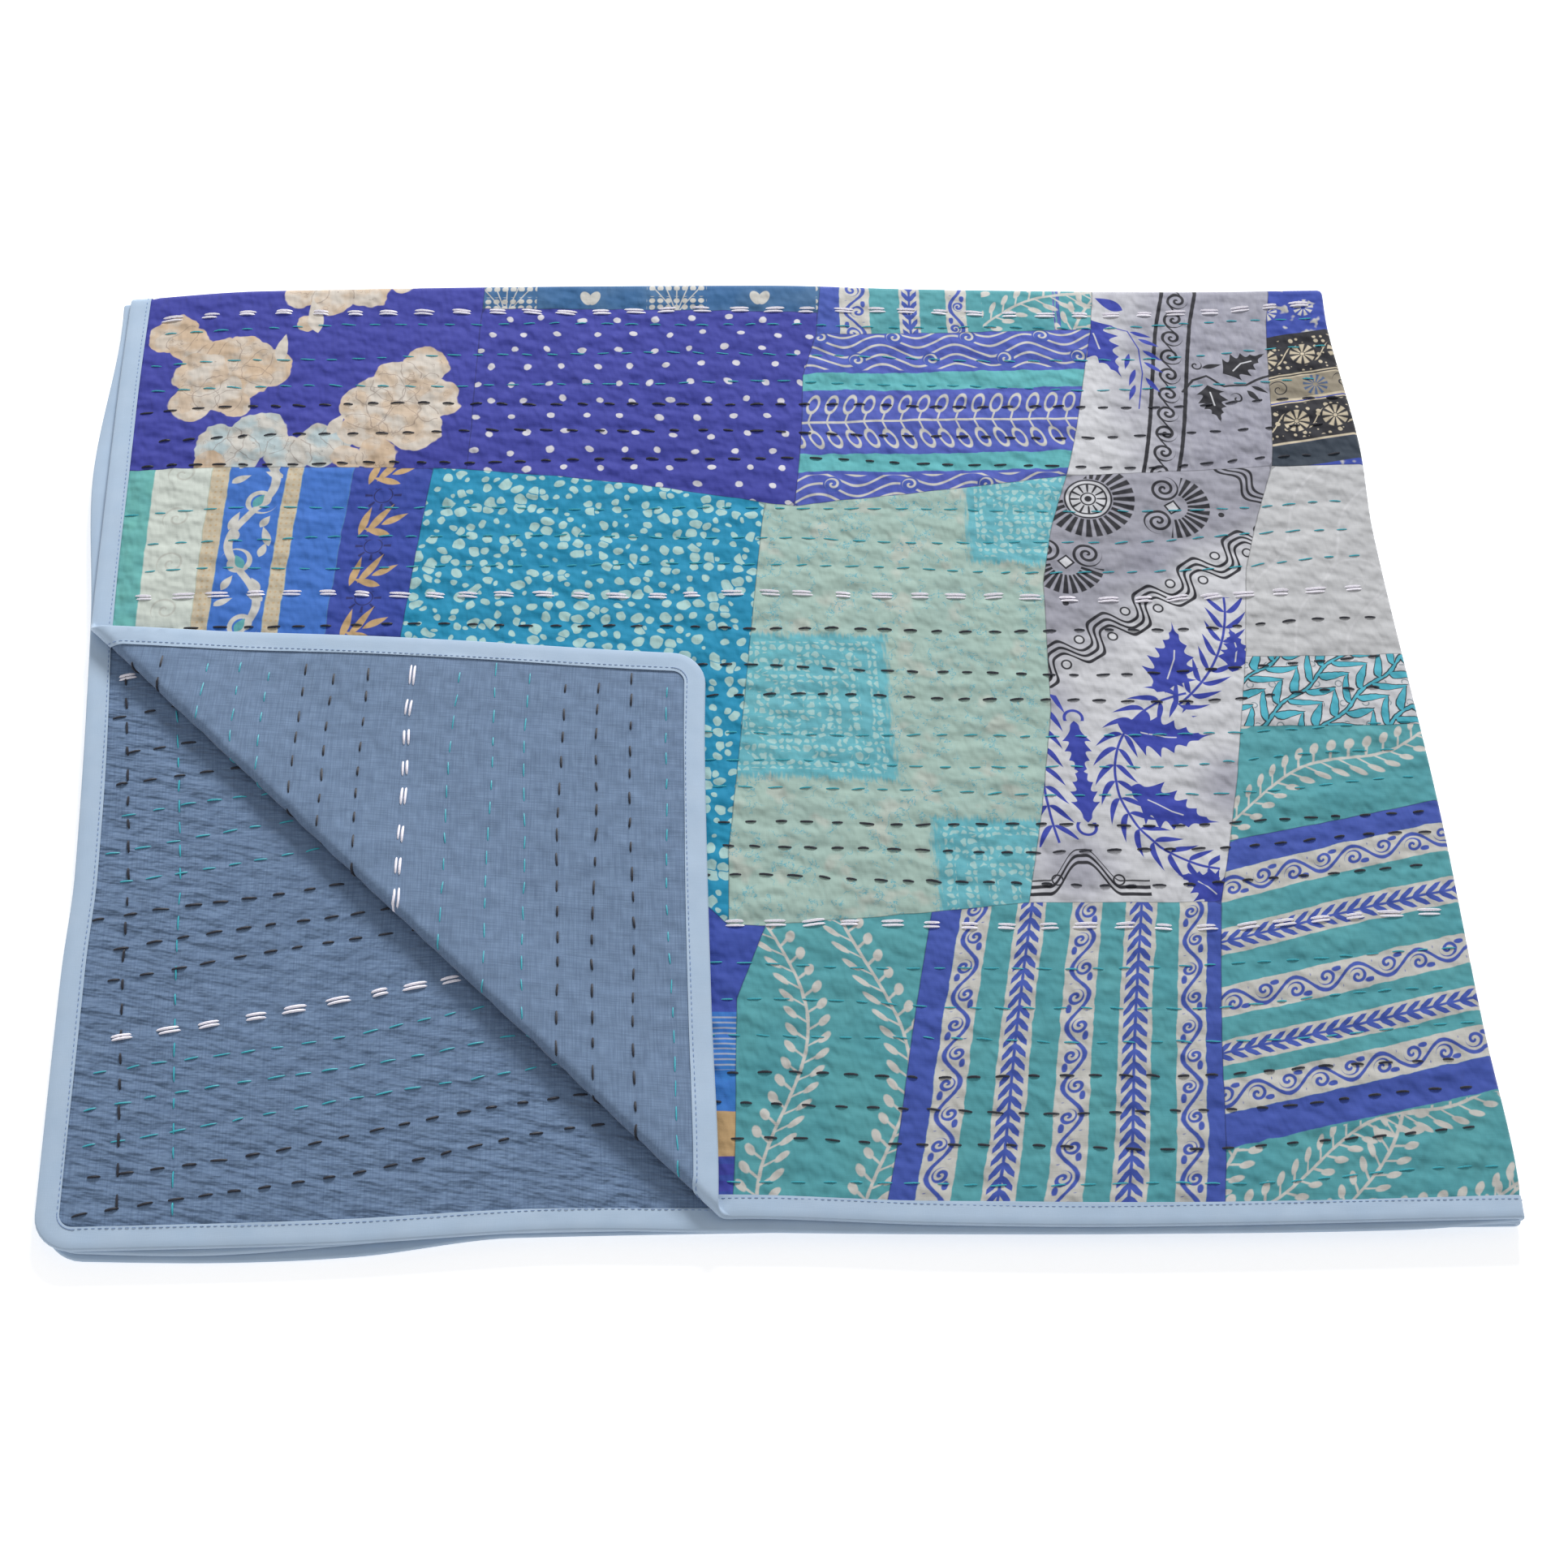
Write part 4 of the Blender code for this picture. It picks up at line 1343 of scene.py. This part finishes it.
def pebblesPrint(p):
    cloth = over(dyes["tealBlue"], noise(p, 30), colour(14, 132, 174))
    warped = vectorMaths("ADD", p, point(noise(p, 14) * 6, noise(placed(p, (60, 20)), 14) * 6))
    return printed(cloth, "pebble", pebbles(warped, 8.7, 1.3, 3.9), 0.3)


def mintPrint(p):
    x, y = parts(p)
    cloth = over(dyes["mint"], noise(p, 30), colour(168, 193, 182))
    cloth = over(cloth, ink(noise(p, 22) - 0.64, 0.08) * 0.35, dyes["blossomCream"])
    thin = 0.010 - size(noise(p, 11, 4, 0.6) - 0.5)
    scribble = ink(thin, 0.012) * ink(noise(placed(p, (31, 77)), 17) - 0.5, 0.06)
    cloth = over(cloth, scribble * 0.9, dyes["dyeSquare"])
    soft = waver(placed(p, (0, 0), 0, 1, 6), 1.6, 9) + waver(p, 14, 6)
    wobble = vectorMaths("ADD", p, point(noise(p, 9) * 7, noise(placed(p, (70, 20)), 9) * 7))
    for left, low, right, high in ((515, 419, 585, 490), (340, 266, 458, 364), (475, 150, 560, 242)):
        middle = ((left + right) / 2, (low + high) / 2)
        inside = smaller(between(x, left, right), between(y, low, high))
        tone = over(dyes["dyeSquare"], noise(p, 18), colour(96, 180, 192))
        cloth = over(cloth, ink(inside + soft, 2.5) * 0.9, tone)
        ringed = size(wrap(inside - 8, 11.5))
        circle = size(wrap(vectorMaths("DISTANCE", wobble, (middle[0] + 3.5, middle[1] + 3.5, 0)), 13))
        where = smaller(larger(2.4 - ringed, 2.5 - circle), inside - 4)
        beads = 1.8 - lengthOf(wrap(parts(wobble)[0], 4.9), wrap(parts(wobble)[1], 4.9))
        cloth = over(cloth, ink(smaller(beads, where)) * 0.85, dyes["pebble"])
    return cloth


def paisleyPrint(p):
    x, y = parts(p)
    smoky = noise(p, 55, 2)
    diagonal = y - 350 - (x - 556) * 0.74
    greyness = ink(diagonal + (smoky - 0.5) * 40, 26)
    cloth = over(dyes["white"], greyness, over(dyes["grey"], noise(p, 26), colour(148, 148, 160)))
    for at, reach in (((650, 262), 22), ((553, 210), 20), ((548, 318), 14), ((625, 420), 12)):
        cloth = over(cloth, ink(disc(p, at, reach) + (smoky - 0.5) * 16, 14) * 0.75, colour(150, 150, 165))
    # the round flower and its fringe
    flower = (590, 467)
    where = larger(x - 574 + (y - 467) * -0.9, -1 * (y - 462))
    fringe = smaller(petals(p, flower, 27, 15.4, 28.5, 0.66), where)
    marks = larger(fringe, ringOf(disc(p, flower, 14.2), 1.2))
    cloth = printed(cloth, "ink", marks)
    cloth = printed(cloth, "white", disc(p, flower, 13.5))
    marks = larger(ringOf(disc(p, flower, 11.2), 1.1), disc(p, flower, 2.2),
                   ringOf(disc(p, flower, 4.4), 0.9), petals(p, flower, 12, 5.2, 11, 0.22))
    cloth = printed(cloth, "ink", marks, 0.25)
    # two winged sprays
    for at, turn in (((641, 461), -12), ((572, 420), -97)):
        local = placed(p, at, turn)
        lx, ly = parts(local)
        fan = smaller(petals(local, (0, 0), 25, 9.5, 23, 0.68), lx - 2)
        curls = larger(spiral(local, (-7, 12.5), 9, 4.4, 1.9), spiral(local, (-7, -12.5), 9, 4.4, 1.9, 180))
        stone = 5.5 - size(lx) - size(ly)
        cloth = printed(cloth, "ink", larger(fan, curls, stone, disc(local, (30, 0), 1.9)), 0.3)
        cloth = printed(cloth, "white", stone - 1.6, 0.3)
    # the wandering triple line, with a ring in each bend
    s = (x - 553) * 0.83 + (y - 345) * 0.56
    t = (y - 345) * 0.83 - (x - 553) * 0.56
    phase = s * (2 * math.pi / 36) + sine(s * (4 * math.pi / 36)) * 0.35
    slope = maths("COSINE", phase) * 1.25
    away = (t - sine(phase) * 7) * maths("INVERSE_SQRT", 1 + slope * slope)
    # and the end of the next one
    gone = (x - 688) * 0.6 - (y - 478) * 0.8
    side = (x - 688) * 0.8 + (y - 478) * 0.6 + sine(gone * (2 * math.pi / 26)) * 3.5
    strands = larger(*[smaller(0.95 - size(wrap(off, 4.2)), 5.4 - size(off)) for off in (away, side)])
    cloth = printed(cloth, "ink", smaller(strands, y - 330), 0.3)
    rings = lengthOf(wrap(s - 9, 36), t + 4.6)
    rings = smaller(rings, lengthOf(wrap(s - 27, 36), t - 4.6))
    cloth = printed(cloth, "ink", smaller(3.3 - rings, y - 335), 0.3)
    cloth = printed(cloth, "white", smaller(2.2 - rings, y - 335), 0.3)
    # a piece of the same line at the lower left
    low = y - 195 - ink(11 - size(x - 556), 9) * 20
    strands = 0.9 - size(wrap(low + 1, 4.6)) * 0.8
    strands = smaller(strands, between(low, -4, 8), between(x, 518, 592), y - 188)
    strands = larger(strands, *[ringOf(disc(p, at, 3), 1) for at in ((541, 203), (575, 203))])
    cloth = printed(cloth, "ink", strands, 0.3)
    # blue stems, leaflets and toothed leaves
    marks = larger(spray(p, (640, 268), 59, 100, 262), spray(p, (562, 398), 101, -52, -2),
                   spray(p, (740, 268), 200, 163, 192, 13))
    for u, v, turn, long, wide in (
        (613, 297, -8, 54, 31), (610, 247, -27, 52, 31), (626, 350, 72, 52, 32), (664, 357, 85, 32, 20),
        (622, 200, 140, 30, 28),
    ):
        toothed = leaf(p, (u, v), turn, long, wide * 1.1, 6, 0.3)
        vein = stroke(placed(p, (u, v), turn), ((-long * 0.28, 1), (0, -0.4), (long * 0.12, 0.4)), 0.8)
        marks = larger(marks, smaller(toothed, -1 * vein))
    insect = leaves(p, ((562, 262, 90, 44, 18), (562, 285, -90, 44, 18)), 6)
    horns = larger(smaller(ringOf(disc(p, (562, 309), 5.2), 1.8), y - 307),
                   smaller(ringOf(disc(p, (561, 237), 5.2), 1.8), 240 - y))
    marks = larger(marks, insect, horns)
    return printed(cloth, "royal", marks, 0.3)


def sprigPrint(p):
    x, y = parts(p)
    streak = noise(placed(p, (0, 0), 0, 0.25, 1), 14, 3)
    greyness = ink(x - 628 + waver(p, 40, 50), 30)
    cloth = over(dyes["white"], greyness, over(colour(168, 168, 180), streak, colour(140, 140, 156)))
    s = (y - 637) * 0.977 + (x - 669) * 0.214
    t = (x - 669) * 0.977 - (y - 637) * 0.214
    rails = larger(1.25 - size(t + 10.5), 1.25 - size(t - 10.5))
    curl = spiral(point(t, wrap(s - 3, 15.6)), (0, 0), 6.9, 4.3, 1.9, 60)
    gap = wrap(s - 10.8, 15.6)
    link = smaller(0.75 - size(t + gap * 0.9 + 1.5), 3.0 - size(gap))
    cloth = printed(cloth, "ink", larger(rails, curl, link) + waver(p, 4, 0.5), 0.3)
    tulips = leaves(p, ((702, 573, 28, 34, 24), (677, 541, -84, 30, 22)), 5)
    stem = ((659, 551), (667, 560), (676, 563), (686, 555), (700, 556), (712, 562), (724, 566))
    curls = larger(spiral(p, (671, 572), 4, 4, 1.2), spiral(p, (692, 545), 4, 4, 1.2, 90))
    small = leaves(p, ((681, 571, 10, 13, 4.5), (703, 547, -50, 11, 4.5), (708, 552, -30, 11, 4)))
    cloth = printed(cloth, "ink", larger(tulips, stroke(p, stem, 1.6), curls, small), 0.3)
    veins = larger(stroke(p, ((694, 567), (700, 573), (707, 575)), 0.9), line(p, (676, 550), (677, 540), 0.9))
    cloth = printed(cloth, "white", veins, 0.3)
    stem = ((622, 604), (632, 600), (637, 585), (636, 565), (631, 545), (629, 537))
    blue = larger(leaf(p, (612, 588), -68, 56, 36, 6), leaf(p, (622, 622), 150, 20, 10), stroke(p, stem, 0.8))
    beside = ((644, 590, -30), (645, 580, -35), (644, 570, -40), (628, 575, -110), (629, 562, -115),
              (627, 550, -115), (641, 556, -60), (640, 597, -20))
    blue = larger(blue, leaves(p, [(*row, 14, 4) for row in beside]))
    return printed(cloth, "royal", smaller(blue, -1 * line(p, (610, 598), (612, 585), 1.0)), 0.3)


def daisyPrint(p):
    x, y = parts(p)
    level = y - (x - 740) * 0.16
    cloth = over(dyes["deepBlue"], ink(noise(p, 12) - 0.66, 0.05), dyes["cream"])
    local = point(wrap(x - 748, 24), level - 617)
    cloth = printed(cloth, "cream", petals(local, (0, 0), 9, 1.5, 6.5, 0.55))
    bands = ((580, 17, "ink"), (528, 16, "ink"), (554.5, 9.5, "sand"), (503, 9, "slateDark"))
    for middle, half, dye in bands:
        cloth = printed(cloth, dye, half - size(level - middle))
    for middle, shift in ((580, 0), (529, 10)):
        local = point(wrap(x - 741 - shift, 25), level - middle)
        flower = larger(petals(local, (0, 0), 9, 1.8, 8.2, 0.62), disc(local, (0, 0), 1.3))
        vine = 0.7 - size(level - middle - sine((x - shift) * 0.25) * 6)
        buds = smaller(sprinkle(p, 5.5, 0.2, 1.6), 13 - size(level - middle))
        marks = larger(flower, smaller(larger(vine, buds), vectorMaths("LENGTH", local) - 9.5))
        cloth = printed(cloth, "sand", marks)
    rails = smaller(0.5 - size(size(level - 554.5) - 11), 5.0)
    rails = larger(rails, 0.8 - size(level - 513))
    cloth = printed(cloth, "sand", rails)
    local = point(wrap(x - 744, 42), level - 555)
    cloth = over(cloth, ink(petals(local, (0, 0), 11, 1.5, 8, 0.45)), colour(88, 120, 170))
    sprigs = larger(spiral(point(wrap(x - 762, 42), level - 555), (0, 0), 7, 5, 1.0), 0)
    return printed(cloth, "ink", smaller(sprigs, 8 - size(level - 555)))


def scrollsPrint(p):
    x, y = parts(p)
    t = x - (y - 488) * x * 0.00078
    cloth = over(dyes["turquoise"], noise(p, 20), colour(112, 186, 176))
    bands = (
        (28, 62, "whiteGreen"), (62, 73, "sand"), (73, 107, "plainBlue"), (107, 117, "sand"),
        (117, 147, "plainBlue"), (147, 200, "deepBlue"),
    )
    shaky = t + waver(p, 14, 2, 3)
    for low, high, name in bands:
        tone = over(dyes[name], noise(p, 22), [c * 0.92 for c in dyes[name][:3]] + [1.0])
        cloth = over(cloth, ink(between(shaky, low, high), 0.5), tone)
    pale = spiral(point(wrap(t - 45, 40), wrap(y - 10, 34)), (0, 0), 9, 6, 1.4)
    cloth = over(cloth, 0.5 * ink(smaller(pale, between(t, 30, 60))), colour(170, 168, 160))
    beads = 0.8 - lengthOf(wrap(t, 3.3), wrap(y, 4.2))
    beads = smaller(beads, larger(between(t, 63, 72), between(t, 108, 116)))
    cloth = over(cloth, ink(beads, 0.25) * 0.6, dyes["tan"])
    cell = wrap(y - 440, 92)
    wave = 90 + sine(y * (2 * math.pi / 92) + 0.4) * 11.5
    scroll = 2.2 - size(t - wave) * 0.8
    spot = point(t, cell)
    ringed = larger(spiral(spot, (95, 23), 10, 8.6, 3.2, 200), spiral(spot, (85, -23), 10, 8.6, 3.2, 20))
    drops = leaves(spot, ((93, 23, 60, 11, 7), (87, -23, 120, 11, 7)))
    white = ((80, 8, 70, 15), (101, -4, 110, 15), (100, -14, 75, 11), (80, 40, 25, 13), (100, 43, 155, 13),
             (81, -38, 60, 12), (99, -40, 120, 12), (82, -2, 100, 10), (99, 7, 60, 10))
    white = leaves(spot, [(*row, 6.5) for row in white])
    inBand = between(t, 75, 105)
    cloth = printed(cloth, "cream", smaller(larger(scroll, ringed, white), inBand))
    cloth = printed(cloth, "turquoise", smaller(drops, inBand))
    local = point(t, wrap(y - 452, 38))
    dark = larger(ringOf(disc(local, (168, 14), 5.5), 0.7), petals(local, (168, 14), 8, 6.5, 11, 0.12))
    cloth = over(cloth, ink(smaller(dark, between(t, 149, 190))), colour(30, 34, 96))
    sprays = ((160, -5, 78, 22, 6), (169, -3, 58, 25, 6), (178, -4, 28, 17, 6), (168, -13, 165, 18, 6))
    return printed(cloth, "tan", leaves(local, sprays))


def greyPrint(p):
    cloth = over(dyes["pale"], noise(p, 35), colour(184, 185, 188))
    x, y = parts(placed(p, (720, 400), 62))
    swirl = larger(spiral(p, (748, 402), 22, 15, 1.6), 0.8 - size(wrap(y + sine(x / 13) * 4, 31)))
    return over(cloth, ink(swirl, 0.6) * 0.32, colour(214, 214, 218))


def leafyPrint(p):
    x, y = parts(p)
    sway = y * 0.76 - x * 0.65 + sine((x + y) / 9) * 1.6
    off = wrap(sway + 4, 25)
    gone = x * 0.76 + y * 0.65 + maths("SIGN", off) * 3.2 + maths("FLOOR", (sway + 16.5) / 25) * 5
    marks = leafyStem(gone, size(off), 13.5, 13.0, 5.6) + waver(p, 6, 1.6)
    cloth = over(dyes["white"], ink(marks + 0.75, 0.25), colour(40, 50, 58))
    cloth = printed(cloth, "leafTurquoise", marks, 0.25)
    curl = ringOf(disc(point(wrap(x - 18, 13), wrap(y - 318, 14)), (0, 0), 1.9), 0.7)
    return over(cloth, ink(smaller(curl, -1.4 - marks), 0.25) * 0.7, colour(70, 100, 110))


painters = {
    "blossom": blossomPrint, "spots": spotsPrint, "waves": wavesPrint, "pebbles": pebblesPrint,
    "mint": mintPrint, "paisley": paisleyPrint, "stripes": stripesPrint, "branch": branchPrint,
    "slant": slantPrint, "scrolls": scrollsPrint, "steel": steelPrint, "fan": fanPrint,
    "sprig": sprigPrint, "daisy": daisyPrint, "grey": greyPrint, "leafy": leafyPrint,
    "buds": budsPrint, "bluePiece": bluePrint,
}
prints = list(painters)

weaves = {
    "print": {"roughness": 0.82, "sheen": 0.15, "thread": 0.42, "slub": 0.09, "bump": 0.05},
    "slate": {"roughness": 0.88, "sheen": 0.20, "thread": 0.55, "slub": 0.20, "bump": 0.10},
    "tape": {"roughness": 0.70, "sheen": 0.20, "thread": 0.34, "slub": 0.03, "bump": 0.03},
    "thread": {"sheen": 0.30, "bump": 0.30},
}


def printFolds(p):
    # Short gathers across the stitch rows, and softer lumps between them, in millimetres.
    gathers = noise(placed(p, (0, 0), 6, 5.5, 12), 1.0, 1) * 1.3
    lumps = noise(placed(p, (9, 4), -20, 16, 10), 1.0, 1) * 2.2
    return gathers + lumps


def slateFolds(p):
    # Long wrinkles that run in from the bared edges; the turned-back corner is smoother.
    x, y = parts(p)
    bared = ink(x - 1150, 20)
    edge = ink(smaller(1440 - x, y - 90), 60)
    wrinkles = noise(placed(p, (0, 0), 14, 30, 6.5), 1.0, 2, 0.55) * (2.9 - edge * 1.5)
    crossing = noise(placed(p, (9, 4), -36, 17, 7.5), 1.0, 2) * 1.7
    return (wrinkles + crossing) * bared + noise(placed(p, (3, 5), 0, 13, 9), 1.0, 1) * 1.4


def adjust(node, values):
    # Sets plain numbers and colours on a node's sockets.
    for name, value in values.items():
        node.inputs[name].default_value = value


def newMaterial(name, values):
    # A material with the given numbers on its shader. The nodes made next are laid out in it.
    material = bpy.data.materials.new(name)
    material.use_nodes = True
    desk["tree"] = material.node_tree
    shader = material.node_tree.nodes["Principled BSDF"]
    adjust(shader, values)
    return material, shader


def emboss(shader, heights, strength, distance):
    # Fine relief in the surface, from heights over the cloth.
    bump = addNode("ShaderNodeBump")
    adjust(bump, {"Strength": strength, "Distance": distance})
    feed(bump.inputs["Height"], heights)
    feed(shader.inputs["Normal"], Field(bump.outputs[0]))


def toned(tone, shade):
    # A tone made lighter or darker from place to place.
    if not isinstance(tone, Field):
        tone = vectorMaths("ADD", tone[:3], (0, 0, 0))
    return vectorMaths("SCALE", tone, scale=shade)


def clothMaterial(name, make, paint, folds=None, paintSeamShade=False):
    # A woven cloth: its print, its uneven threads and its small crinkles; with paintSeamShade, also painted
    # shade along the patches' seams.
    material, shader = newMaterial(name, {
        "Roughness": make["roughness"], "Specular IOR Level": 0.25,
        "Sheen Weight": make["sheen"], "Sheen Roughness": 0.5,
    })
    where = addNode("ShaderNodeUVMap", uv_map="flatCloth")
    p = vectorMaths("SCALE", Field(where.outputs[0]), scale=1000.0)
    base = paint(p)
    warp = noise(placed(p, (0, 0), 0, make["thread"] * 24, make["thread"]), 1.0)
    weft = noise(placed(p, (50, 90), 0, make["thread"], make["thread"] * 24), 1.0)
    weave = warp + weft
    shade = 0.87 - make["slub"] + weave * make["slub"] + waver(p, 26, 0.12, 3)
    if paintSeamShade:
        # Painted shade: the colour is darkened in a narrow line along each seam, standing in for the shade in
        # the seam's groove.
        seam = addNode("ShaderNodeAttribute", attribute_name="seam")
        shade = shade * (1 - 0.42 * ink(Field(seam.outputs["Fac"]) - 0.93, 0.06))
    feed(shader.inputs["Base Color"], toned(base, shade))
    heights = weave * make["bump"]
    if folds:
        heights = heights + folds(p)
    emboss(shader, heights, 1.0, 0.001)
    return material


def threadMaterial(name, tone, roughness):
    # A spun thread, measured in the object's own coordinates.
    make = weaves["thread"]
    material, shader = newMaterial(name, {
        "Roughness": roughness, "Sheen Weight": make["sheen"], "Sheen Roughness": 0.4,
    })
    where = addNode("ShaderNodeTexCoord")
    p = vectorMaths("SCALE", Field(where.outputs["Object"]), scale=1000.0)
    fibres = noise(p, 0.7)
    feed(shader.inputs["Base Color"], toned(colour(*tone), 0.75 + fibres * 0.5))
    emboss(shader, fibres, make["bump"], 0.0003)
    return material


def slatePaint(p):
    # The slate's uneven threads, with painted light on the turned-back corner.
    slubs = noise(placed(p, (0, 0), 0, 22, 0.9), 1.0, 3)
    upright = noise(placed(p, (7, 7), 0, 0.9, 26), 1.0, 3)
    tone = over(colour(97, 120, 152), ink(slubs - 0.5, 0.26), colour(118, 142, 174))
    tone = over(tone, ink(upright - 0.55, 0.24) * 0.6, colour(88, 110, 142))
    # Painted light: the slate of the turned-back corner (x under 600 mm) is made lighter, as that corner lies
    # better lit than the bared slate.
    return over(tone, ink(600 - parts(p)[0], 9) * 0.16, colour(150, 172, 200))


def tapePaint(p):
    return over(colour(172, 195, 220), noise(p, 18), colour(182, 202, 224))


materials = {}
# Each print also takes painted shade along its seams.
for kind in prints:
    materials[kind] = clothMaterial(kind + "Print", weaves["print"], painters[kind], printFolds, True)
slateMaterial = clothMaterial("slateCloth", weaves["slate"], slatePaint, slateFolds)
tapeMaterial = clothMaterial("tapeCloth", weaves["tape"], tapePaint)
threadMaterials = {
    "teal": threadMaterial("tealCotton", (52, 170, 186), 0.5),
    "black": threadMaterial("navyCotton", (26, 28, 42), 0.6),
    "white": threadMaterial("whiteCotton", (244, 240, 250), 0.5),
    "edge": threadMaterial("edgeThread", (122, 148, 190), 0.5),
}
print("materials made")

patchwork = patchworkPanel()
print("patchwork laid flat")
foldUp(patchwork)
patchworkCloth = finishPiece("patchworkCloth", patchwork, [materials[kind] for kind in prints])
slate = slatePanel()
foldUp(slate)
slateCloth = finishPiece("slateCloth", slate, [slateMaterial])
tape = bindingTape()
foldUp(tape)
tapePiece = finishPiece("bindingTape", tape, [tapeMaterial], 60)

faceStitches, backStitches = allStitches()
threadPieces = []
for kind in threads:
    spun = threadMaterials[kind]
    threadPieces.append(stitches(kind + "FaceStitches", faceStitches[kind], faceHeight, spun))
    threadPieces.append(stitches(kind + "BackStitches", backStitches[kind], slateHeight, spun))
spun = threadMaterials["edge"]
threadPieces.append(stitches("bindingStitches", bindingStitchRows(), bindingHeight, spun, 4, 4))

for piece in (patchworkCloth, slateCloth, tapePiece, *threadPieces):
    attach(piece, "root")
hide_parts("patchwork_face")
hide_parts("slate_backing")
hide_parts("edge_binding")
print("pieces joined to the frame")

studio = {
    "floorSize": 12.0, "floorTone": (0.93, 0.93, 0.94, 1.0), "floorGlow": 0.45, "sky": 0.53,
    "lightSize": 0.8, "keyPlace": (0.5, 2.8, 1.65), "keyPower": 112.0,
    "fillPlace": (-1.8, -1.4, 1.8), "fillPower": 4.0,
}

floorShape = bmesh.new()
bmesh.ops.create_grid(floorShape, x_segments=1, y_segments=1, size=studio["floorSize"] / 2)
floorMesh = bpy.data.meshes.new("floor")
floorShape.to_mesh(floorMesh)
floorShape.free()
floor = bpy.data.objects.new("floor", floorMesh)
bpy.context.scene.collection.objects.link(floor)
floorMesh.materials.append(newMaterial("paleFloor", {
    "Base Color": studio["floorTone"], "Emission Color": (1.0, 1.0, 1.0, 1.0),
    "Emission Strength": studio["floorGlow"], "Roughness": 0.9, "Specular IOR Level": 0.1,
})[0])


def areaLight(name, place, power):
    # A soft light aimed at the pile.
    light = bpy.data.lights.new(name, "AREA")
    light.size = studio["lightSize"]
    light.energy = power
    lamp = bpy.data.objects.new(name, light)
    lamp.location = place
    lamp.rotation_euler = (-Vector(place)).to_track_quat("-Z", "Y").to_euler()
    bpy.context.scene.collection.objects.link(lamp)


areaLight("keyLight", studio["keyPlace"], studio["keyPower"])
areaLight("fillLight", studio["fillPlace"], studio["fillPower"])
world = bpy.data.worlds.new("studioAir")
world.use_nodes = True
adjust(world.node_tree.nodes["Background"], {"Color": (1.0, 1.0, 1.0, 1.0), "Strength": studio["sky"]})
bpy.context.scene.world = world
bpy.context.scene.view_settings.view_transform = "Standard"

shot = {
    "place": (0.3156, -0.4751, 1.2660), "pitch": 59.2706, "roll": 3.9604, "yaw": 5.9602,
    "lens": 59.34, "sensor": 36.0,
}
pitch, roll, yaw = (math.radians(shot[name]) for name in ("pitch", "roll", "yaw"))
ahead = Vector((math.sin(yaw) * math.cos(pitch), math.cos(yaw) * math.cos(pitch), -math.sin(pitch)))
level = Vector((math.cos(yaw), -math.sin(yaw), 0))
upward = level.cross(ahead)
right = math.cos(roll) * level + math.sin(roll) * upward
overhead = -math.sin(roll) * level + math.cos(roll) * upward
lens = bpy.data.cameras.new("photoCamera")
lens.lens = shot["lens"]
lens.sensor_width = shot["sensor"]
camera = bpy.data.objects.new("photoCamera", lens)
turned = Matrix((right, overhead, -ahead)).transposed().to_4x4()
middle = Vector((*quilt["pileMiddle"], 0))
camera.matrix_world = Matrix.Translation(Vector(shot["place"]) - middle) @ turned
bpy.context.scene.collection.objects.link(camera)
bpy.context.scene.camera = camera
print("stage set")
